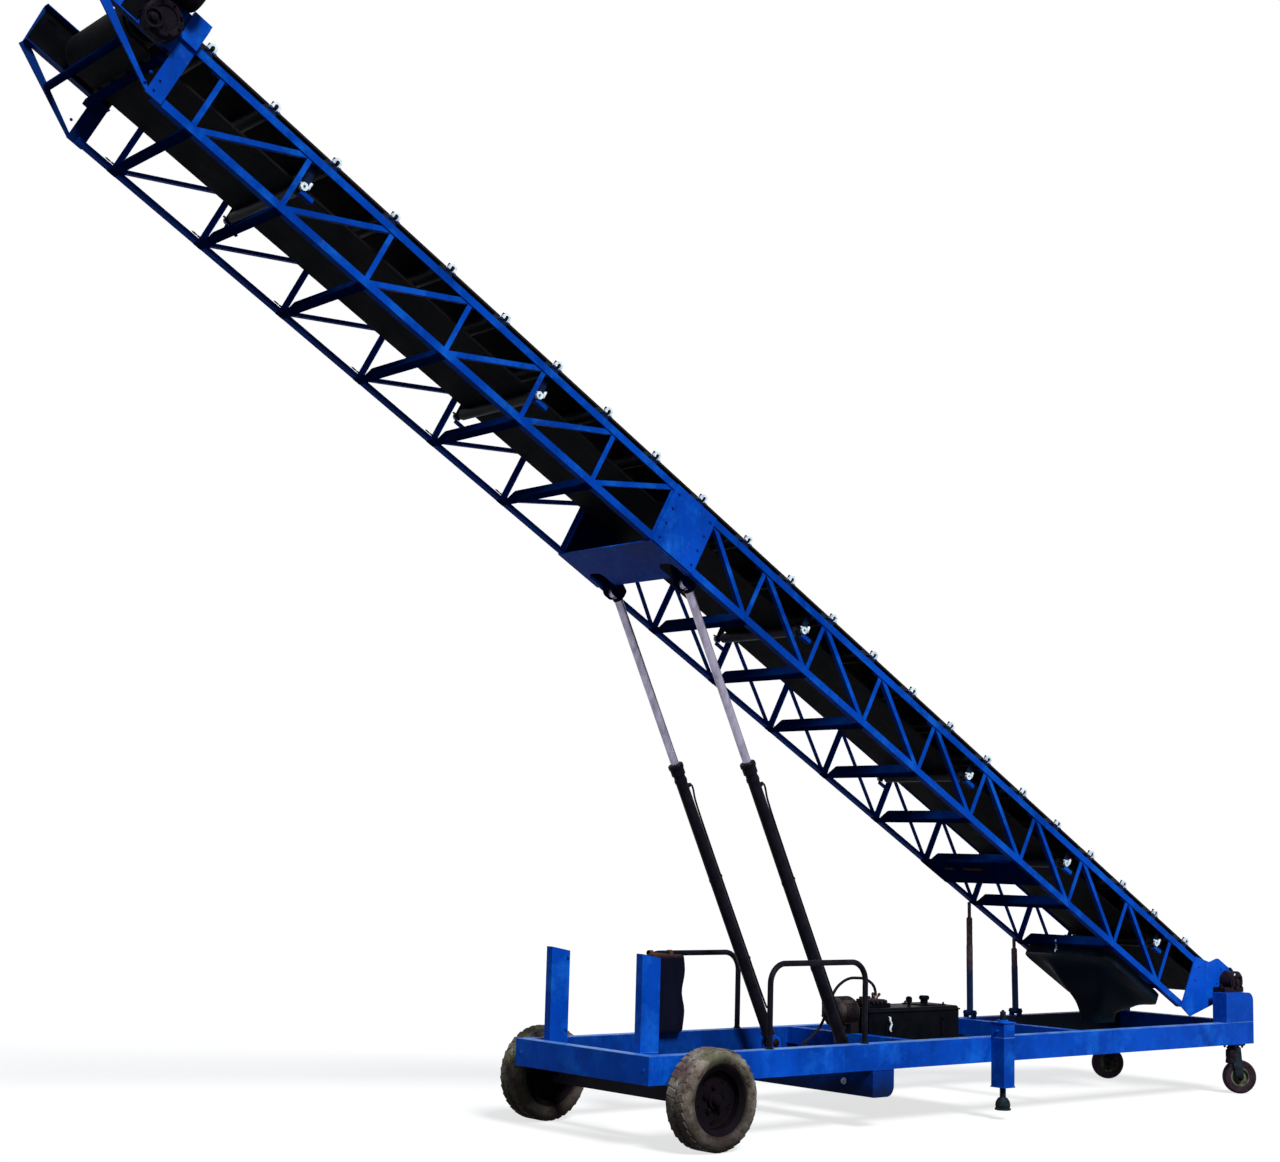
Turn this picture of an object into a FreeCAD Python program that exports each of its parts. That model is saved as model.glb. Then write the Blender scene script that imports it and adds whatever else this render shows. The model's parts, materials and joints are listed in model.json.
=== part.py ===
import FreeCAD, Part
import math
import os
import re
import Sketcher
from FreeCAD import Placement, Rotation, Vector

# Stacker conveyor: an inclined belt conveyor on a truss boom, hinged at its tail on a
# wheeled chassis and lifted by two hydraulic cylinders.  Millimetres, +Z up, +X towards
# the castor end, origin on the floor under the middle of the machine.

sizes = {
    # chassis
    "frameLength": 5630, "frameWidth": 1148, "frameTop": 490, "frameFront": 1140,
    "railDepth": 150, "railWidth": 75, "railWall": 6,
    "crossDepth": 100, "crossWidth": 75, "frontCrossAt": 940, "rearCrossAt": 2550,
    # lifting beam under the rails and its cylinder lugs
    "liftBeamAt": 665, "liftBeamWidth": 180, "liftBeamDepth": 156, "liftBeamRound": 60, "liftBeamWall": 8,
    # front wheels
    "wheelAt": 820, "tyreDiameter": 540, "tyreWidth": 185, "rimDiameter": 365,
    "wheelOutset": 52, "axleSize": 80, "axleWall": 8, "stubDiameter": 40,
    "stubReach": 45, "saddleLength": 120,
    "hubDiameter": 90, "runningGap": 0.3,
    # posts that carry the lowered boom
    "postInset": 20, "postHeight": 520, "postDepth": 130, "postSlope": 24, "postWidth": 50, "postWall": 5,
    # handle hoops and covered starter box
    "hoopAt": 225, "hoopLength": 801, "hoopHeight": 480, "hoopPipe": 33, "hoopRound": 112,
    "starterLength": 255, "starterDepth": 78, "starterHeight": 465, "starterRound": 18,
    # parking jack
    "jackAt": 1681, "jackTube": 100, "jackWall": 6, "jackTop": 575, "jackBottom": 200,
    "jackScrew": 36, "jackFoot": 92, "jackLift": 58,
    # castors
    "castorInset": 155, "castorAside": 64, "castorWheel": 230, "castorTread": 56, "castorTurn": 40.4,
    "castorHub": 130, "castorTrail": 38, "castorPlate": 12, "castorArm": 7, "castorGap": 5,
    "castorPlateLength": 124, "castorPlateWidth": 110, "castorRace": 76, "raceDepth": 12,
    # tail hinge of the boom
    "pivotInset": 110, "pivotHeight": 764, "shaftDiameter": 45, "stoolLength": 332, "stoolRound": 60,
    "stoolWidth": 110, "stoolWall": 8, "bearingWidth": 90, "bearingLength": 230, "bearingBody": 146,
    "bearingAside": 35,
    "bearingGap": 6,
    # boom
    "boomAngle": 28.31, "boomInset": 164, "trussDepth": 380, "trussDrop": 395,
    "chordLeg": 42, "chordWall": 6, "braceLeg": 28, "braceWall": 4, "braceGap": 2,
    "trussStart": 380, "panelPitch": 560.4, "firstPost": 307,
    "tieWidth": 50, "tieDepth": 70, "tieWall": 5, "sidePlate": 10,
    "spliceReach": 474.8, "spliceLength": 340, "spliceThick": 8, "upperReach": 503,
    "headPlateWidth": 92, "cheekRise": 85, "cheekThick": 6, "cheekDrop": 145, "noseDrop": 168,
    "windowReach": 250, "windowLength": 100,
    "headReach": 225, "noseReach": 470,
    # belt and drums
    "beltInset": 110, "beltThick": 12, "headDrumDiameter": 220, "tailDrumDiameter": 150,
    "drumInset": 85, "headDrumReach": 195, "idlerPipe": 76, "returnPipe": 60,
    "idlerStart": 524, "idlerReach": 103, "idlerCount": 23,
    "returnAside": 107,
    # head drive on the near side
    "gearDiameter": 200, "gearWidth": 64, "gearBack": 25, "gearDrop": 35, "gearBoss": 100, "bossAhead": 23,
    "bossDrop": 80, "driveMotor": 130, "driveMotorLength": 235, "driveMotorRise": 150, "driveMotorReach": 130,
    # cylinders
    "cylinderInset": 100, "cylinderFoot": 620, "cylinderFootHeight": 420,
    "cylinderEyeReach": 65, "cylinderEyeDrop": 400, "barrelDiameter": 70, "barrelWall": 8,
    "barrelLength": 1850, "glandDiameter": 84, "rodDiameter": 50, "pinDiameter": 32,
    "eyeDiameter": 70, "eyeWidth": 50, "lugWall": 12,
    # props
    "propSize": 44, "propRod": 24, "propSleeve": 470, "frontPropInset": 1646, "rearPropInset": 1155,
    "frontPropLength": 800, "rearPropLength": 560, "propFootHeight": 30, "propGap": 6,
    "frontPropLean": 124, "rearPropLean": 135, "propPin": 14, "pinPlay": 0.03,
    # spill funnel hung under the tail of the boom
    "funnelStart": 520, "funnelEnd": 1235, "funnelInset": 52, "funnelSkirt": 62, "funnelWall": 5,
    "spoutLength": 210, "spoutWidth": 180, "spoutAt": 690, "spoutDrop": 640, "spoutRound": 30,
    # hydraulic power pack
    "tankAt": 1030, "tankLength": 830, "tankWidth": 300, "tankAside": 30, "tankTop": 640, "tankRound": 25,
    "trayThick": 6, "trayLip": 40, "motorDiameter": 180, "motorLength": 150,
    "hoseDiameter": 18, "hoseAside": 140,
}

doc = FreeCAD.newDocument("StackerConveyor")
sheet = doc.addObject("Spreadsheet::Sheet", "Sizes")
for row, (alias, amount) in enumerate(sizes.items(), 1):
    sheet.set(f"A{row}", alias)
    sheet.set(f"B{row}", str(amount))
    sheet.setAlias(f"B{row}", alias)
doc.recompute()


def linked(text):
    """The expression with every size's name pointed at the sheet."""
    return re.sub(r"[a-z][A-Za-z]+", lambda word: "Sizes." + word[0] if word[0] in sizes else word[0], text)


def value(text):
    return float(sheet.evalExpression(linked(text)))


class Size:
    """Sizes read back from the sheet, for shapes made by function."""

    def __getattr__(self, name):
        return float(getattr(sheet, name))


size = Size()
subparts = []


def keep(item, label, x="0", y="0", z="0", swivel=None):
    """Names a sub-part and ties its place to the sheet, turned clockwise in plan by swivel."""
    item.Label = label
    if swivel:
        item.Placement = Placement(Vector(), Rotation(Vector(0, 0, -1), value(swivel)))
        item.setExpression("Placement.Rotation.Angle", linked(swivel))
    for axis, text in zip("xyz", (x, y, z)):
        item.setExpression(f"Placement.Base.{axis}", linked(text))
    subparts.append(item)
    return item


def feature(label, shape, place=None):
    """A sub-part whose shape is made by function."""
    item = doc.addObject("Part::Feature", label)
    item.Shape = shape
    item.Placement = place or Placement()
    item.Label = label
    subparts.append(item)
    return item


def outlineSketch(body, plane, outlines):
    """A fully constrained sketch: each corner is tied to the sheet by two dimensions."""
    sketch = body.newObject("Sketcher::SketchObject", body.Name + "Sketch")
    support = next(item for item in body.Origin.OriginFeatures if item.Role == plane)
    sketch.AttachmentSupport = [(support, "")]
    sketch.MapMode = "FlatFace"
    for corners in outlines:
        points = [Vector(value(across), value(up), 0) for across, up in corners]
        first = sketch.GeometryCount
        for index, point in enumerate(points):
            sketch.addGeometry(Part.LineSegment(point, points[(index + 1) % len(points)]), False)
        for index, (across, up) in enumerate(corners):
            line = first + index
            following = first + (index + 1) % len(points)
            sketch.addConstraint(Sketcher.Constraint("Coincident", line, 2, following, 1))
            for kind, text, amount in (("DistanceX", across, points[index].x),
                                       ("DistanceY", up, points[index].y)):
                number = sketch.addConstraint(Sketcher.Constraint(kind, -1, 1, line, 1, amount))
                sketch.setExpression(f"Constraints[{number}]", linked(text))
    return sketch


def rectangle(x0, y0, x1, y1):
    return [(x0, y0), (x1, y0), (x1, y1), (x0, y1)]


def padded(label, plane, outlines, length, x="0", y="0", z="0"):
    """A PartDesign body: outlines on one of its planes, padded to a length."""
    body = doc.addObject("PartDesign::Body", label)
    sketch = outlineSketch(body, plane, outlines)
    pad = body.newObject("PartDesign::Pad", body.Name + "Pad")
    pad.Profile = sketch
    pad.setExpression("Length", linked(length))
    pad.Midplane = plane != "YZ_Plane"
    return keep(body, label, x, y, z)


def turned(label, plane, corners, x="0", y="0", z="0", swivel=None):
    """A PartDesign body revolved about its sketch's upright axis."""
    body = doc.addObject("PartDesign::Body", label)
    sketch = outlineSketch(body, plane, [corners])
    solid = body.newObject("PartDesign::Revolution", body.Name + "Turn")
    solid.Profile = sketch
    solid.ReferenceAxis = (sketch, ["V_Axis"])
    solid.Angle = 360
    return keep(body, label, x, y, z, swivel)


def tube(label, x0, x1, y, z, wide, deep, wall):
    """A box-section bar along X, open at its ends."""
    half = f"({wide}) / 2"
    inner = f"({wide}) / 2 - {wall}"
    outlines = [
        rectangle(f"-({half})", f"-({deep}) / 2", half, f"({deep}) / 2"),
        rectangle(f"-({inner})", f"-({deep}) / 2 + {wall}", inner, f"({deep}) / 2 - {wall}"),
    ]
    return padded(label, "YZ_Plane", outlines, f"({x1}) - ({x0})", x0, y, z)


def roundedFace(corners, toPoint):
    """A flat face from corners (a, b, radius), its round corners made as arcs."""
    edges = []
    ends = []
    count = len(corners)
    for index, (a, b, radius) in enumerate(corners):
        here = Vector(a, b, 0)
        before = Vector(*corners[index - 1][:2], 0)
        after = Vector(*corners[(index + 1) % count][:2], 0)
        back = (before - here).normalize()
        ahead = (after - here).normalize()
        if radius <= 0:
            ends.append((here, here, None))
            continue
        half = back.getAngle(ahead) / 2
        reach = radius / math.tan(half)
        middle = here + (back + ahead).normalize() * (radius / math.sin(half) - radius)
        ends.append((here + back * reach, here + ahead * reach, middle))
    for index, (start, stop, middle) in enumerate(ends):
        if middle is not None:
            arc = Part.Arc(toPoint(start.x, start.y), toPoint(middle.x, middle.y), toPoint(stop.x, stop.y))
            edges.append(arc.toShape())
        following = ends[(index + 1) % count][0]
        if (following - stop).Length > 1e-6:
            edges.append(Part.LineSegment(toPoint(stop.x, stop.y),
                                          toPoint(following.x, following.y)).toShape())
    return Part.Face(Part.Wire(edges))


def box(x0, x1, y0, y1, z0, z1):
    return Part.makeBox(x1 - x0, y1 - y0, z1 - z0, Vector(x0, y0, z0))


def rod(start, stop, diameter):
    return Part.makeCylinder(diameter / 2, (stop - start).Length, start, stop - start)


def pipe(start, stop, diameter, wall):
    return rod(start, stop, diameter).cut(rod(start, stop, diameter - 2 * wall))


def fused(shapes):
    return shapes[0].multiFuse(shapes[1:]).removeSplitter() if len(shapes) > 1 else shapes[0]


def mirrored(shape):
    return shape.mirror(Vector(0, 0, 0), Vector(0, 1, 0))


sides = (("near", -1), ("far", 1))
railCentre = "frameWidth / 2 - railWidth / 2"
frontEnd = -size.frameFront
backEnd = size.frameLength - size.frameFront
railBottom = size.frameTop - size.railDepth
frameHalf = size.frameWidth / 2
outer = frameHalf - size.boomInset
pivotAt = backEnd - size.pivotInset
cylinderOffset = outer - size.cylinderInset
castorX = "frameLength - frameFront - castorInset"
castorY = "frameWidth / 2 - castorAside"

# ---------------------------------------------------------------- chassis
for name, side in sides:
    tube(f"side_rail_{name}", "-frameFront + railWidth", "frameLength - frameFront - railWidth",
         f"{side} * ({railCentre})", "frameTop - railDepth / 2", "railWidth", "railDepth", "railWall")


def endBeam(label, x):
    """A closed box beam across the whole chassis."""
    outer = doc.addObject("Part::Box", label + "Outer")
    inner = doc.addObject("Part::Box", label + "Inner")
    for item, less in ((outer, "0"), (inner, "railWall")):
        item.setExpression("Length", linked(f"railWidth - 2 * {less}"))
        item.setExpression("Width", linked(f"frameWidth - 2 * {less}"))
        item.setExpression("Height", linked(f"railDepth - 2 * {less}"))
        for axis in "xyz":
            item.setExpression(f"Placement.Base.{axis}", linked(less))
    beam = doc.addObject("Part::Cut", label)
    beam.Base = outer
    beam.Tool = inner
    return keep(beam, label, x, "-frameWidth / 2", "frameTop - railDepth")


endBeam("front_beam", "-frameFront")
endBeam("tail_beam", "frameLength - frameFront - railWidth")

for name, place in (("front", "frontCrossAt"), ("rear", "rearCrossAt")):
    half = "frameWidth / 2 - railWidth"
    section = [
        rectangle("0", "-crossDepth", "crossWidth", "0"),
        rectangle("railWall", "-crossDepth + railWall", "crossWidth - railWall", "-railWall"),
    ]
    padded(f"cross_member_{name}", "XZ_Plane", section, f"2 * ({half})", place, "0", "frameTop")

liftLow = railBottom - size.liftBeamDepth
liftHalf = size.liftBeamWidth / 2
liftSection = [
    (size.liftBeamAt - liftHalf, railBottom, 0), (size.liftBeamAt + liftHalf, railBottom, 0),
    (size.liftBeamAt + liftHalf, liftLow, size.liftBeamRound),
    (size.liftBeamAt - liftHalf, liftLow, 10),
]
liftBeam = roundedFace(liftSection, lambda a, b: Vector(a, -size.frameWidth / 2, b))
liftBeam = liftBeam.extrude(Vector(0, size.frameWidth, 0))
wall = size.liftBeamWall
liftInner = [
    (size.liftBeamAt - liftHalf + wall, railBottom - wall, 0),
    (size.liftBeamAt + liftHalf - wall, railBottom - wall, 0),
    (size.liftBeamAt + liftHalf - wall, liftLow + wall, size.liftBeamRound - wall),
    (size.liftBeamAt - liftHalf + wall, liftLow + wall, 10 - wall),
]
liftVoid = roundedFace(liftInner, lambda a, b: Vector(a, -size.frameWidth / 2 + wall, b))
liftBeam = liftBeam.cut(liftVoid.extrude(Vector(0, size.frameWidth - 2 * wall, 0)))
cylinderFoot = Vector(size.cylinderFoot, 0, size.cylinderFootHeight)
lugs = []
for name, side in sides:
    for reach in (-1, 1):
        inner = side * cylinderOffset + reach * (size.eyeWidth / 2 + 2) + min(0, reach) * size.lugWall
        lug = box(cylinderFoot.x - 45, cylinderFoot.x + 45, inner, inner + size.lugWall, railBottom,
                  cylinderFoot.z)
        ear = Part.makeCylinder(45, size.lugWall, Vector(cylinderFoot.x, inner, cylinderFoot.z),
                                Vector(0, 1, 0))
        lugs.append(lug.fuse(ear))
    pinHalf = size.eyeWidth / 2 + 2 + size.lugWall + 8
    ends = [Vector(cylinderFoot.x, side * cylinderOffset + reach * pinHalf, cylinderFoot.z) for reach in (-1,
                                                                                                          1)]
    lugs.append(rod(ends[0], ends[1], size.pinDiameter))
feature("lift_beam", fused([liftBeam] + lugs))

# front axle: square tube on saddle plates, round stubs for the wheels
wheelRadius = size.tyreDiameter / 2
wheelMiddle = size.frameWidth / 2 + size.wheelOutset + size.tyreWidth / 2
axleHalf = size.frameWidth / 2
axle = box(-size.axleSize / 2, size.axleSize / 2, -axleHalf, axleHalf,
           wheelRadius - size.axleSize / 2, wheelRadius + size.axleSize / 2)
inside = size.axleSize / 2 - size.axleWall
endPlate = 12
axle = axle.cut(box(-inside, inside, -axleHalf + endPlate, axleHalf - endPlate, wheelRadius - inside,
                    wheelRadius + inside))
stubEnd = wheelMiddle + size.stubReach
pieces = [axle]
for name, side in sides:
    pieces.append(rod(Vector(0, side * (axleHalf - endPlate), wheelRadius),
                      Vector(0, side * stubEnd, wheelRadius),
                      size.stubDiameter))
    saddle = box(-size.saddleLength / 2, size.saddleLength / 2, 0, size.railWidth,
                 wheelRadius + size.axleSize / 2, railBottom)
    saddle.translate(Vector(0, side * (size.frameWidth / 2 - size.railWidth / 2) - size.railWidth / 2, 0))
    pieces.append(saddle)
feature("front_axle", fused(pieces), Placement(Vector(-size.wheelAt, 0, 0), Rotation()))

# front wheels: tyre and dished disc wheel, turned about Y
tread = size.tyreWidth / 2
bead = size.rimDiameter / 2
rimHalf = tread * 0.72
tyreCorners = [
    (bead, -rimHalf, 0), (bead + 16, -rimHalf, 4), (bead + 34, -tread, 24), (wheelRadius - 25, -tread, 25),
    (wheelRadius, -tread * 0.72, 20), (wheelRadius, tread * 0.72, 20), (wheelRadius - 25, tread, 25),
    (bead + 34, tread, 24), (bead + 16, rimHalf, 4), (bead, rimHalf, 0),
    (bead, tread * 0.72 - 14, 0), (bead + 50, tread - 16, 20), (wheelRadius - 22, tread - 22, 15),
    (wheelRadius - 22, -tread + 22, 15), (bead + 50, -tread + 16, 20), (bead, -tread * 0.72 + 14, 0),
]
tyre = roundedFace(tyreCorners, lambda a, b: Vector(a, b, 0)).revolve(Vector(), Vector(0, 1, 0), 360)
stubHole = size.stubDiameter / 2 + size.runningGap / 2
rimCorners = [
    (stubHole, -58), (size.hubDiameter / 2, -58), (size.hubDiameter / 2, -4), (bead - 30, -4),
    (bead - 30, -rimHalf + 18), (bead - 6, -rimHalf), (bead + 12, -rimHalf - 4), (bead + 12, -rimHalf),
    (bead, -rimHalf), (bead, -rimHalf + 14), (bead - 16, -rimHalf + 24), (bead - 16, rimHalf - 24),
    (bead, rimHalf - 14), (bead, rimHalf), (bead + 12, rimHalf), (bead + 12, rimHalf + 4),
    (bead - 6, rimHalf), (bead - 30, rimHalf - 18), (bead - 30, 8), (size.hubDiameter / 2, 8),
    (size.hubDiameter / 2, 30), (stubHole, 30),
]
rim = roundedFace([(a, b, 0) for a, b in rimCorners], lambda a, b: Vector(a, b, 0))
rim = rim.revolve(Vector(), Vector(0, 1, 0), 360)
for name, side in sides:
    spot = Placement(Vector(-size.wheelAt, side * wheelMiddle, wheelRadius),
                     Rotation(Vector(0, 0, 1), 90 - 90 * side))
    feature(f"front_tyre_{name}", tyre, spot)
    feature(f"front_rim_{name}", rim, spot)

# boom rest posts behind the front beam, their open tops cut to the lowered boom's slope
postBack = frontEnd + size.railWidth
postTop = size.frameTop + size.postHeight


def postOutline(wall):
    """The post seen from the side, drawn in by a wall."""
    back = postBack + wall
    front = postBack + size.postDepth - wall
    return [(back, railBottom - wall, 0), (front, railBottom - wall, 0),
            (front, postTop - size.postSlope, 0), (back, postTop, 0)]


for name, side in sides:
    middle = side * (outer - size.postInset)
    solids = []
    for wall in (0, size.postWall):
        half = size.postWidth / 2 - wall
        outline = roundedFace(postOutline(wall), lambda a, b: Vector(a, middle - half, b))
        solids.append(outline.extrude(Vector(0, 2 * half, 0)))
    feature(f"rest_post_{name}", solids[0].cut(solids[1]))

# handle hoops of bent pipe on the rails
def hoop(side):
    reach = size.hoopLength - size.hoopPipe
    top = size.hoopHeight - size.hoopPipe / 2
    bend = size.hoopRound
    start = Vector(0, 0, 0)
    corner = bend * (1 - math.sqrt(0.5))
    edges = [
        Part.LineSegment(start, Vector(0, 0, top - bend)),
        Part.Arc(Vector(0, 0, top - bend), Vector(corner, 0, top - corner), Vector(bend, 0, top)),
        Part.LineSegment(Vector(bend, 0, top), Vector(reach - bend, 0, top)),
        Part.Arc(Vector(reach - bend, 0, top), Vector(reach - corner, 0, top - corner),
                 Vector(reach, 0, top - bend)),
        Part.LineSegment(Vector(reach, 0, top - bend), Vector(reach, 0, 0)),
    ]
    path = Part.Wire([edge.toShape() for edge in edges])
    ring = Part.Wire(Part.makeCircle(size.hoopPipe / 2, start, Vector(0, 0, 1)))
    return path.makePipeShell([ring], True, False)


for name, side in sides:
    feature(f"handle_hoop_{name}", hoop(side),
            Placement(Vector(-size.hoopAt, side * value(railCentre), size.frameTop), Rotation()))

starter = box(0, size.starterLength, 0, size.starterDepth, 0, size.starterHeight)
starter = starter.makeFillet(size.starterRound,
                             [edge for edge in starter.Edges if abs(edge.Length - size.starterHeight) < 1])
starterY = value(railCentre) - size.hoopPipe / 2 - size.runningGap - size.starterDepth
feature("starter_box", starter, Placement(Vector(-size.hoopAt - 10, starterY, size.frameTop), Rotation()))

# parking jack: square sleeve on the rail, screw with a foot
sleeveY = -size.frameWidth / 2 - size.jackTube / 2
jackHalf = size.jackTube / 2
sleeve = box(-jackHalf, jackHalf, -jackHalf, jackHalf, size.jackBottom, size.jackTop)
bore = jackHalf - size.jackWall
sleeve = sleeve.cut(box(-bore, bore, -bore, bore, size.jackBottom + 30, size.jackTop - 10))
sleeve = sleeve.cut(rod(Vector(0, 0, size.jackBottom - 5), Vector(0, 0, size.jackTop + 5),
                        size.jackScrew + 2 * size.runningGap))
feature("jack_sleeve", sleeve, Placement(Vector(size.jackAt, sleeveY, 0), Rotation()))
turned("jack_screw", "XZ_Plane", [
    ("0", "0"), ("jackFoot / 2 - 12", "0"), ("jackFoot / 2 - 3", "12"), ("jackFoot / 2", "30"),
    ("jackFoot / 2 - 4", "50"), ("jackFoot / 2 - 14", "66"), ("jackScrew / 2", "78"),
    ("jackScrew / 2", "jackTop + 10"), ("0", "jackTop + 10"),
], "jackAt", "-frameWidth / 2 - jackTube / 2", "jackLift")

# castors under the tail beam, swung opposite ways
forkHalf = size.castorTread / 2 + size.castorGap + size.castorArm
castorRadius = size.castorWheel / 2
headTop = railBottom - size.castorPlate
crownTop = headTop - size.raceDepth - size.runningGap
crownThick = 10
wheelPin = 20
castorPlates = []
for name, side in sides:
    spot = Vector(value(castorX), side * value(castorY), 0)
    plateLong = size.castorPlateLength / 2
    plateWide = size.castorPlateWidth / 2
    plate = box(-plateLong, plateLong, -plateWide, plateWide, headTop, railBottom)
    race = rod(Vector(0, 0, headTop), Vector(0, 0, headTop - size.raceDepth), size.castorRace)
    castorPlates.append(plate.fuse(race).translated(spot))
    crown = rod(Vector(0, 0, crownTop - crownThick), Vector(0, 0, crownTop), 2 * forkHalf)
    arms = []
    for reach in (-1, 1):
        armFace = roundedFace([(-38, crownTop, 0), (40, crownTop, 0),
                               (size.castorTrail + 24, castorRadius - 24, 22),
                               (size.castorTrail - 24, castorRadius - 24, 22)],
                              lambda a, b: Vector(a, 0, b))
        arm = armFace.extrude(Vector(0, size.castorArm, 0))
        arm.translate(Vector(0, reach * (forkHalf - size.castorArm / 2) - size.castorArm / 2, 0))
        arms.append(arm)
    pinHalf = forkHalf + 8
    pin = rod(Vector(size.castorTrail, -pinHalf, castorRadius),
              Vector(size.castorTrail, pinHalf, castorRadius), wheelPin)
    feature(f"castor_fork_{name}", fused([crown] + arms + [pin]),
            Placement(spot, Rotation(Vector(0, 0, 1), 90 + 90 * side - size.castorTurn)))
    place = (f"{castorX} - ({side}) * castorTrail * cos(castorTurn * 1 deg)",
             f"({side}) * ({castorY} + castorTrail * sin(castorTurn * 1 deg))", "castorWheel / 2", "castorTurn")
    turned(f"castor_tyre_{name}", "XY_Plane", [
        ("castorHub / 2", "-castorTread / 2 + 4"), ("castorWheel / 2 - 12", "-castorTread / 2"),
        ("castorWheel / 2 - 3", "-castorTread / 2 + 8"), ("castorWheel / 2", "-castorTread / 4"),
        ("castorWheel / 2", "castorTread / 4"), ("castorWheel / 2 - 3", "castorTread / 2 - 8"),
        ("castorWheel / 2 - 12", "castorTread / 2"), ("castorHub / 2", "castorTread / 2 - 4"),
    ], *place)
    turned(f"castor_hub_{name}", "XY_Plane", [
        (f"{wheelPin / 2} + runningGap / 2", "-castorTread / 2"), ("24", "-castorTread / 2"), ("28", "-12"),
        ("castorHub / 2 - 14", "-8"), ("castorHub / 2 - 10", "-castorTread / 2 + 4"),
        ("castorHub / 2", "-castorTread / 2 + 4"), ("castorHub / 2", "castorTread / 2 - 4"),
        ("castorHub / 2 - 10", "castorTread / 2 - 4"), ("castorHub / 2 - 14", "8"), ("28", "12"),
        ("24", "castorTread / 2"), (f"{wheelPin / 2} + runningGap / 2", "castorTread / 2"),
    ], *place)

feature("castor_plates", Part.makeCompound(castorPlates))

# tail stools on the rails, with block bearings that carry the boom's shaft
bearingLow = size.pivotHeight - 72
stoolInner = size.frameWidth / 2 - size.stoolWidth
bearingPlay = 0.03
bearingInner = outer + size.sidePlate + size.bearingGap
bearingOuter = bearingInner + size.bearingWidth


def stoolOutline(wall):
    """The stool seen from the side, its outer top corner rounded, drawn in by a wall."""
    start = backEnd - size.stoolLength + wall
    return [(start, size.frameTop + wall, 0), (backEnd - wall, size.frameTop + wall, 0),
            (backEnd - wall, bearingLow - wall, size.stoolRound - wall), (start, bearingLow - wall, 0)]


for name, side in sides:
    outline = roundedFace(stoolOutline(0), lambda a, b: Vector(a, stoolInner, b))
    stool = outline.extrude(Vector(0, size.stoolWidth, 0))
    outline = roundedFace(stoolOutline(size.stoolWall), lambda a, b: Vector(a, stoolInner - 1, b))
    stool = stool.cut(outline.extrude(Vector(0, size.stoolWidth - size.stoolWall + 1, 0)))
    seatStart = pivotAt - size.bearingAside - size.bearingLength / 2
    seat = (seatStart, seatStart + size.bearingLength, bearingInner, bearingOuter)
    inside = Vector(pivotAt, bearingInner, size.pivotHeight)
    outside = Vector(pivotAt, bearingOuter, size.pivotHeight)
    block = box(*seat, bearingLow, bearingLow + 34).fuse(rod(inside, outside, size.bearingBody))
    block = block.common(box(*seat, bearingLow, size.pivotHeight + size.bearingBody))
    block = block.cut(rod(inside, outside, size.shaftDiameter + 2 * bearingPlay))
    if side < 0:
        stool = mirrored(stool)
        block = mirrored(block)
    feature(f"tail_stool_{name}", stool)
    feature(f"tail_bearing_{name}", block)

# ---------------------------------------------------------------- power pack
trayStart = size.frontCrossAt + size.crossWidth
trayEnd = size.tankAt + size.tankLength + 60
trayHalf = size.frameWidth / 2 - size.railWidth
tray = box(trayStart, trayEnd, -trayHalf, trayHalf, railBottom, railBottom + size.trayThick)
lip = box(trayEnd - size.trayThick, trayEnd, -trayHalf, trayHalf, railBottom, railBottom + size.trayLip)
feature("pack_tray", tray.fuse(lip))
tankSection = [(-size.tankWidth / 2, railBottom + size.trayThick, 0),
               (size.tankWidth / 2, railBottom + size.trayThick, 0),
               (size.tankWidth / 2, size.tankTop, size.tankRound),
               (-size.tankWidth / 2, size.tankTop, size.tankRound)]
tank = roundedFace(tankSection, lambda a, b: Vector(0, a, b)).extrude(Vector(size.tankLength, 0, 0))
feature("oil_tank", tank, Placement(Vector(size.tankAt, size.tankAside, 0), Rotation()))
motorBase = size.frameTop
motorZ = motorBase + size.motorDiameter / 2 + 32
motorX = size.tankAt - size.motorLength - 20
motor = rod(Vector(motorX, 0, motorZ), Vector(motorX + size.motorLength, 0, motorZ), size.motorDiameter)
motor = motor.makeFillet(28,
                         [edge for edge in motor.Edges if abs(edge.BoundBox.XMax - motorX) < 1 and edge.Length > 100])
feet = box(size.frontCrossAt, size.frontCrossAt + size.crossWidth, -80, 80, motorBase, motorZ)
feet = feet.common(box(motorX + 30, motorX + size.motorLength, -80, 80, motorBase, motorZ))
pumpNeck = rod(Vector(motorX + size.motorLength, 0, motorZ), Vector(size.tankAt, 0, motorZ), 90)
feature("pump_motor", fused([motor, feet, pumpNeck]), Placement(Vector(0, size.tankAside, 0), Rotation()))

# ---------------------------------------------------------------- boom
# The boom is drawn level, pointing to -X from its hinge, then turned up about it.
pivot = Vector(pivotAt, 0, size.pivotHeight)
raised = Placement(pivot, Rotation(Vector(0, 1, 0), size.boomAngle))
low = -size.trussDrop
high = low + size.trussDepth
stations = [size.trussStart + size.firstPost + size.panelPitch * step for step in range(9)]
spliceStart = stations[-1] + size.spliceReach
spliceEnd = spliceStart + size.spliceLength
upper = [spliceEnd + size.upperReach + size.panelPitch * step for step in range(6)]
headPlateAt = upper[-1] + size.headReach
boomLength = headPlateAt + size.noseReach
headDrumAt = headPlateAt + size.headDrumReach
cylinderEyeAt = spliceStart - size.cylinderEyeReach


def chord(start, stop, bottom, flangeUp):
    """An angle along the boom: upright leg outboard, the other leg inboard."""
    leg = size.chordLeg
    wall = size.chordWall
    upright = box(-stop, -start, -outer, -outer + wall, bottom, bottom + leg)
    level = bottom + leg - wall if flangeUp else bottom
    flat = box(-stop, -start, -outer, -outer + leg, level, level + wall)
    return upright.fuse(flat)


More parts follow.
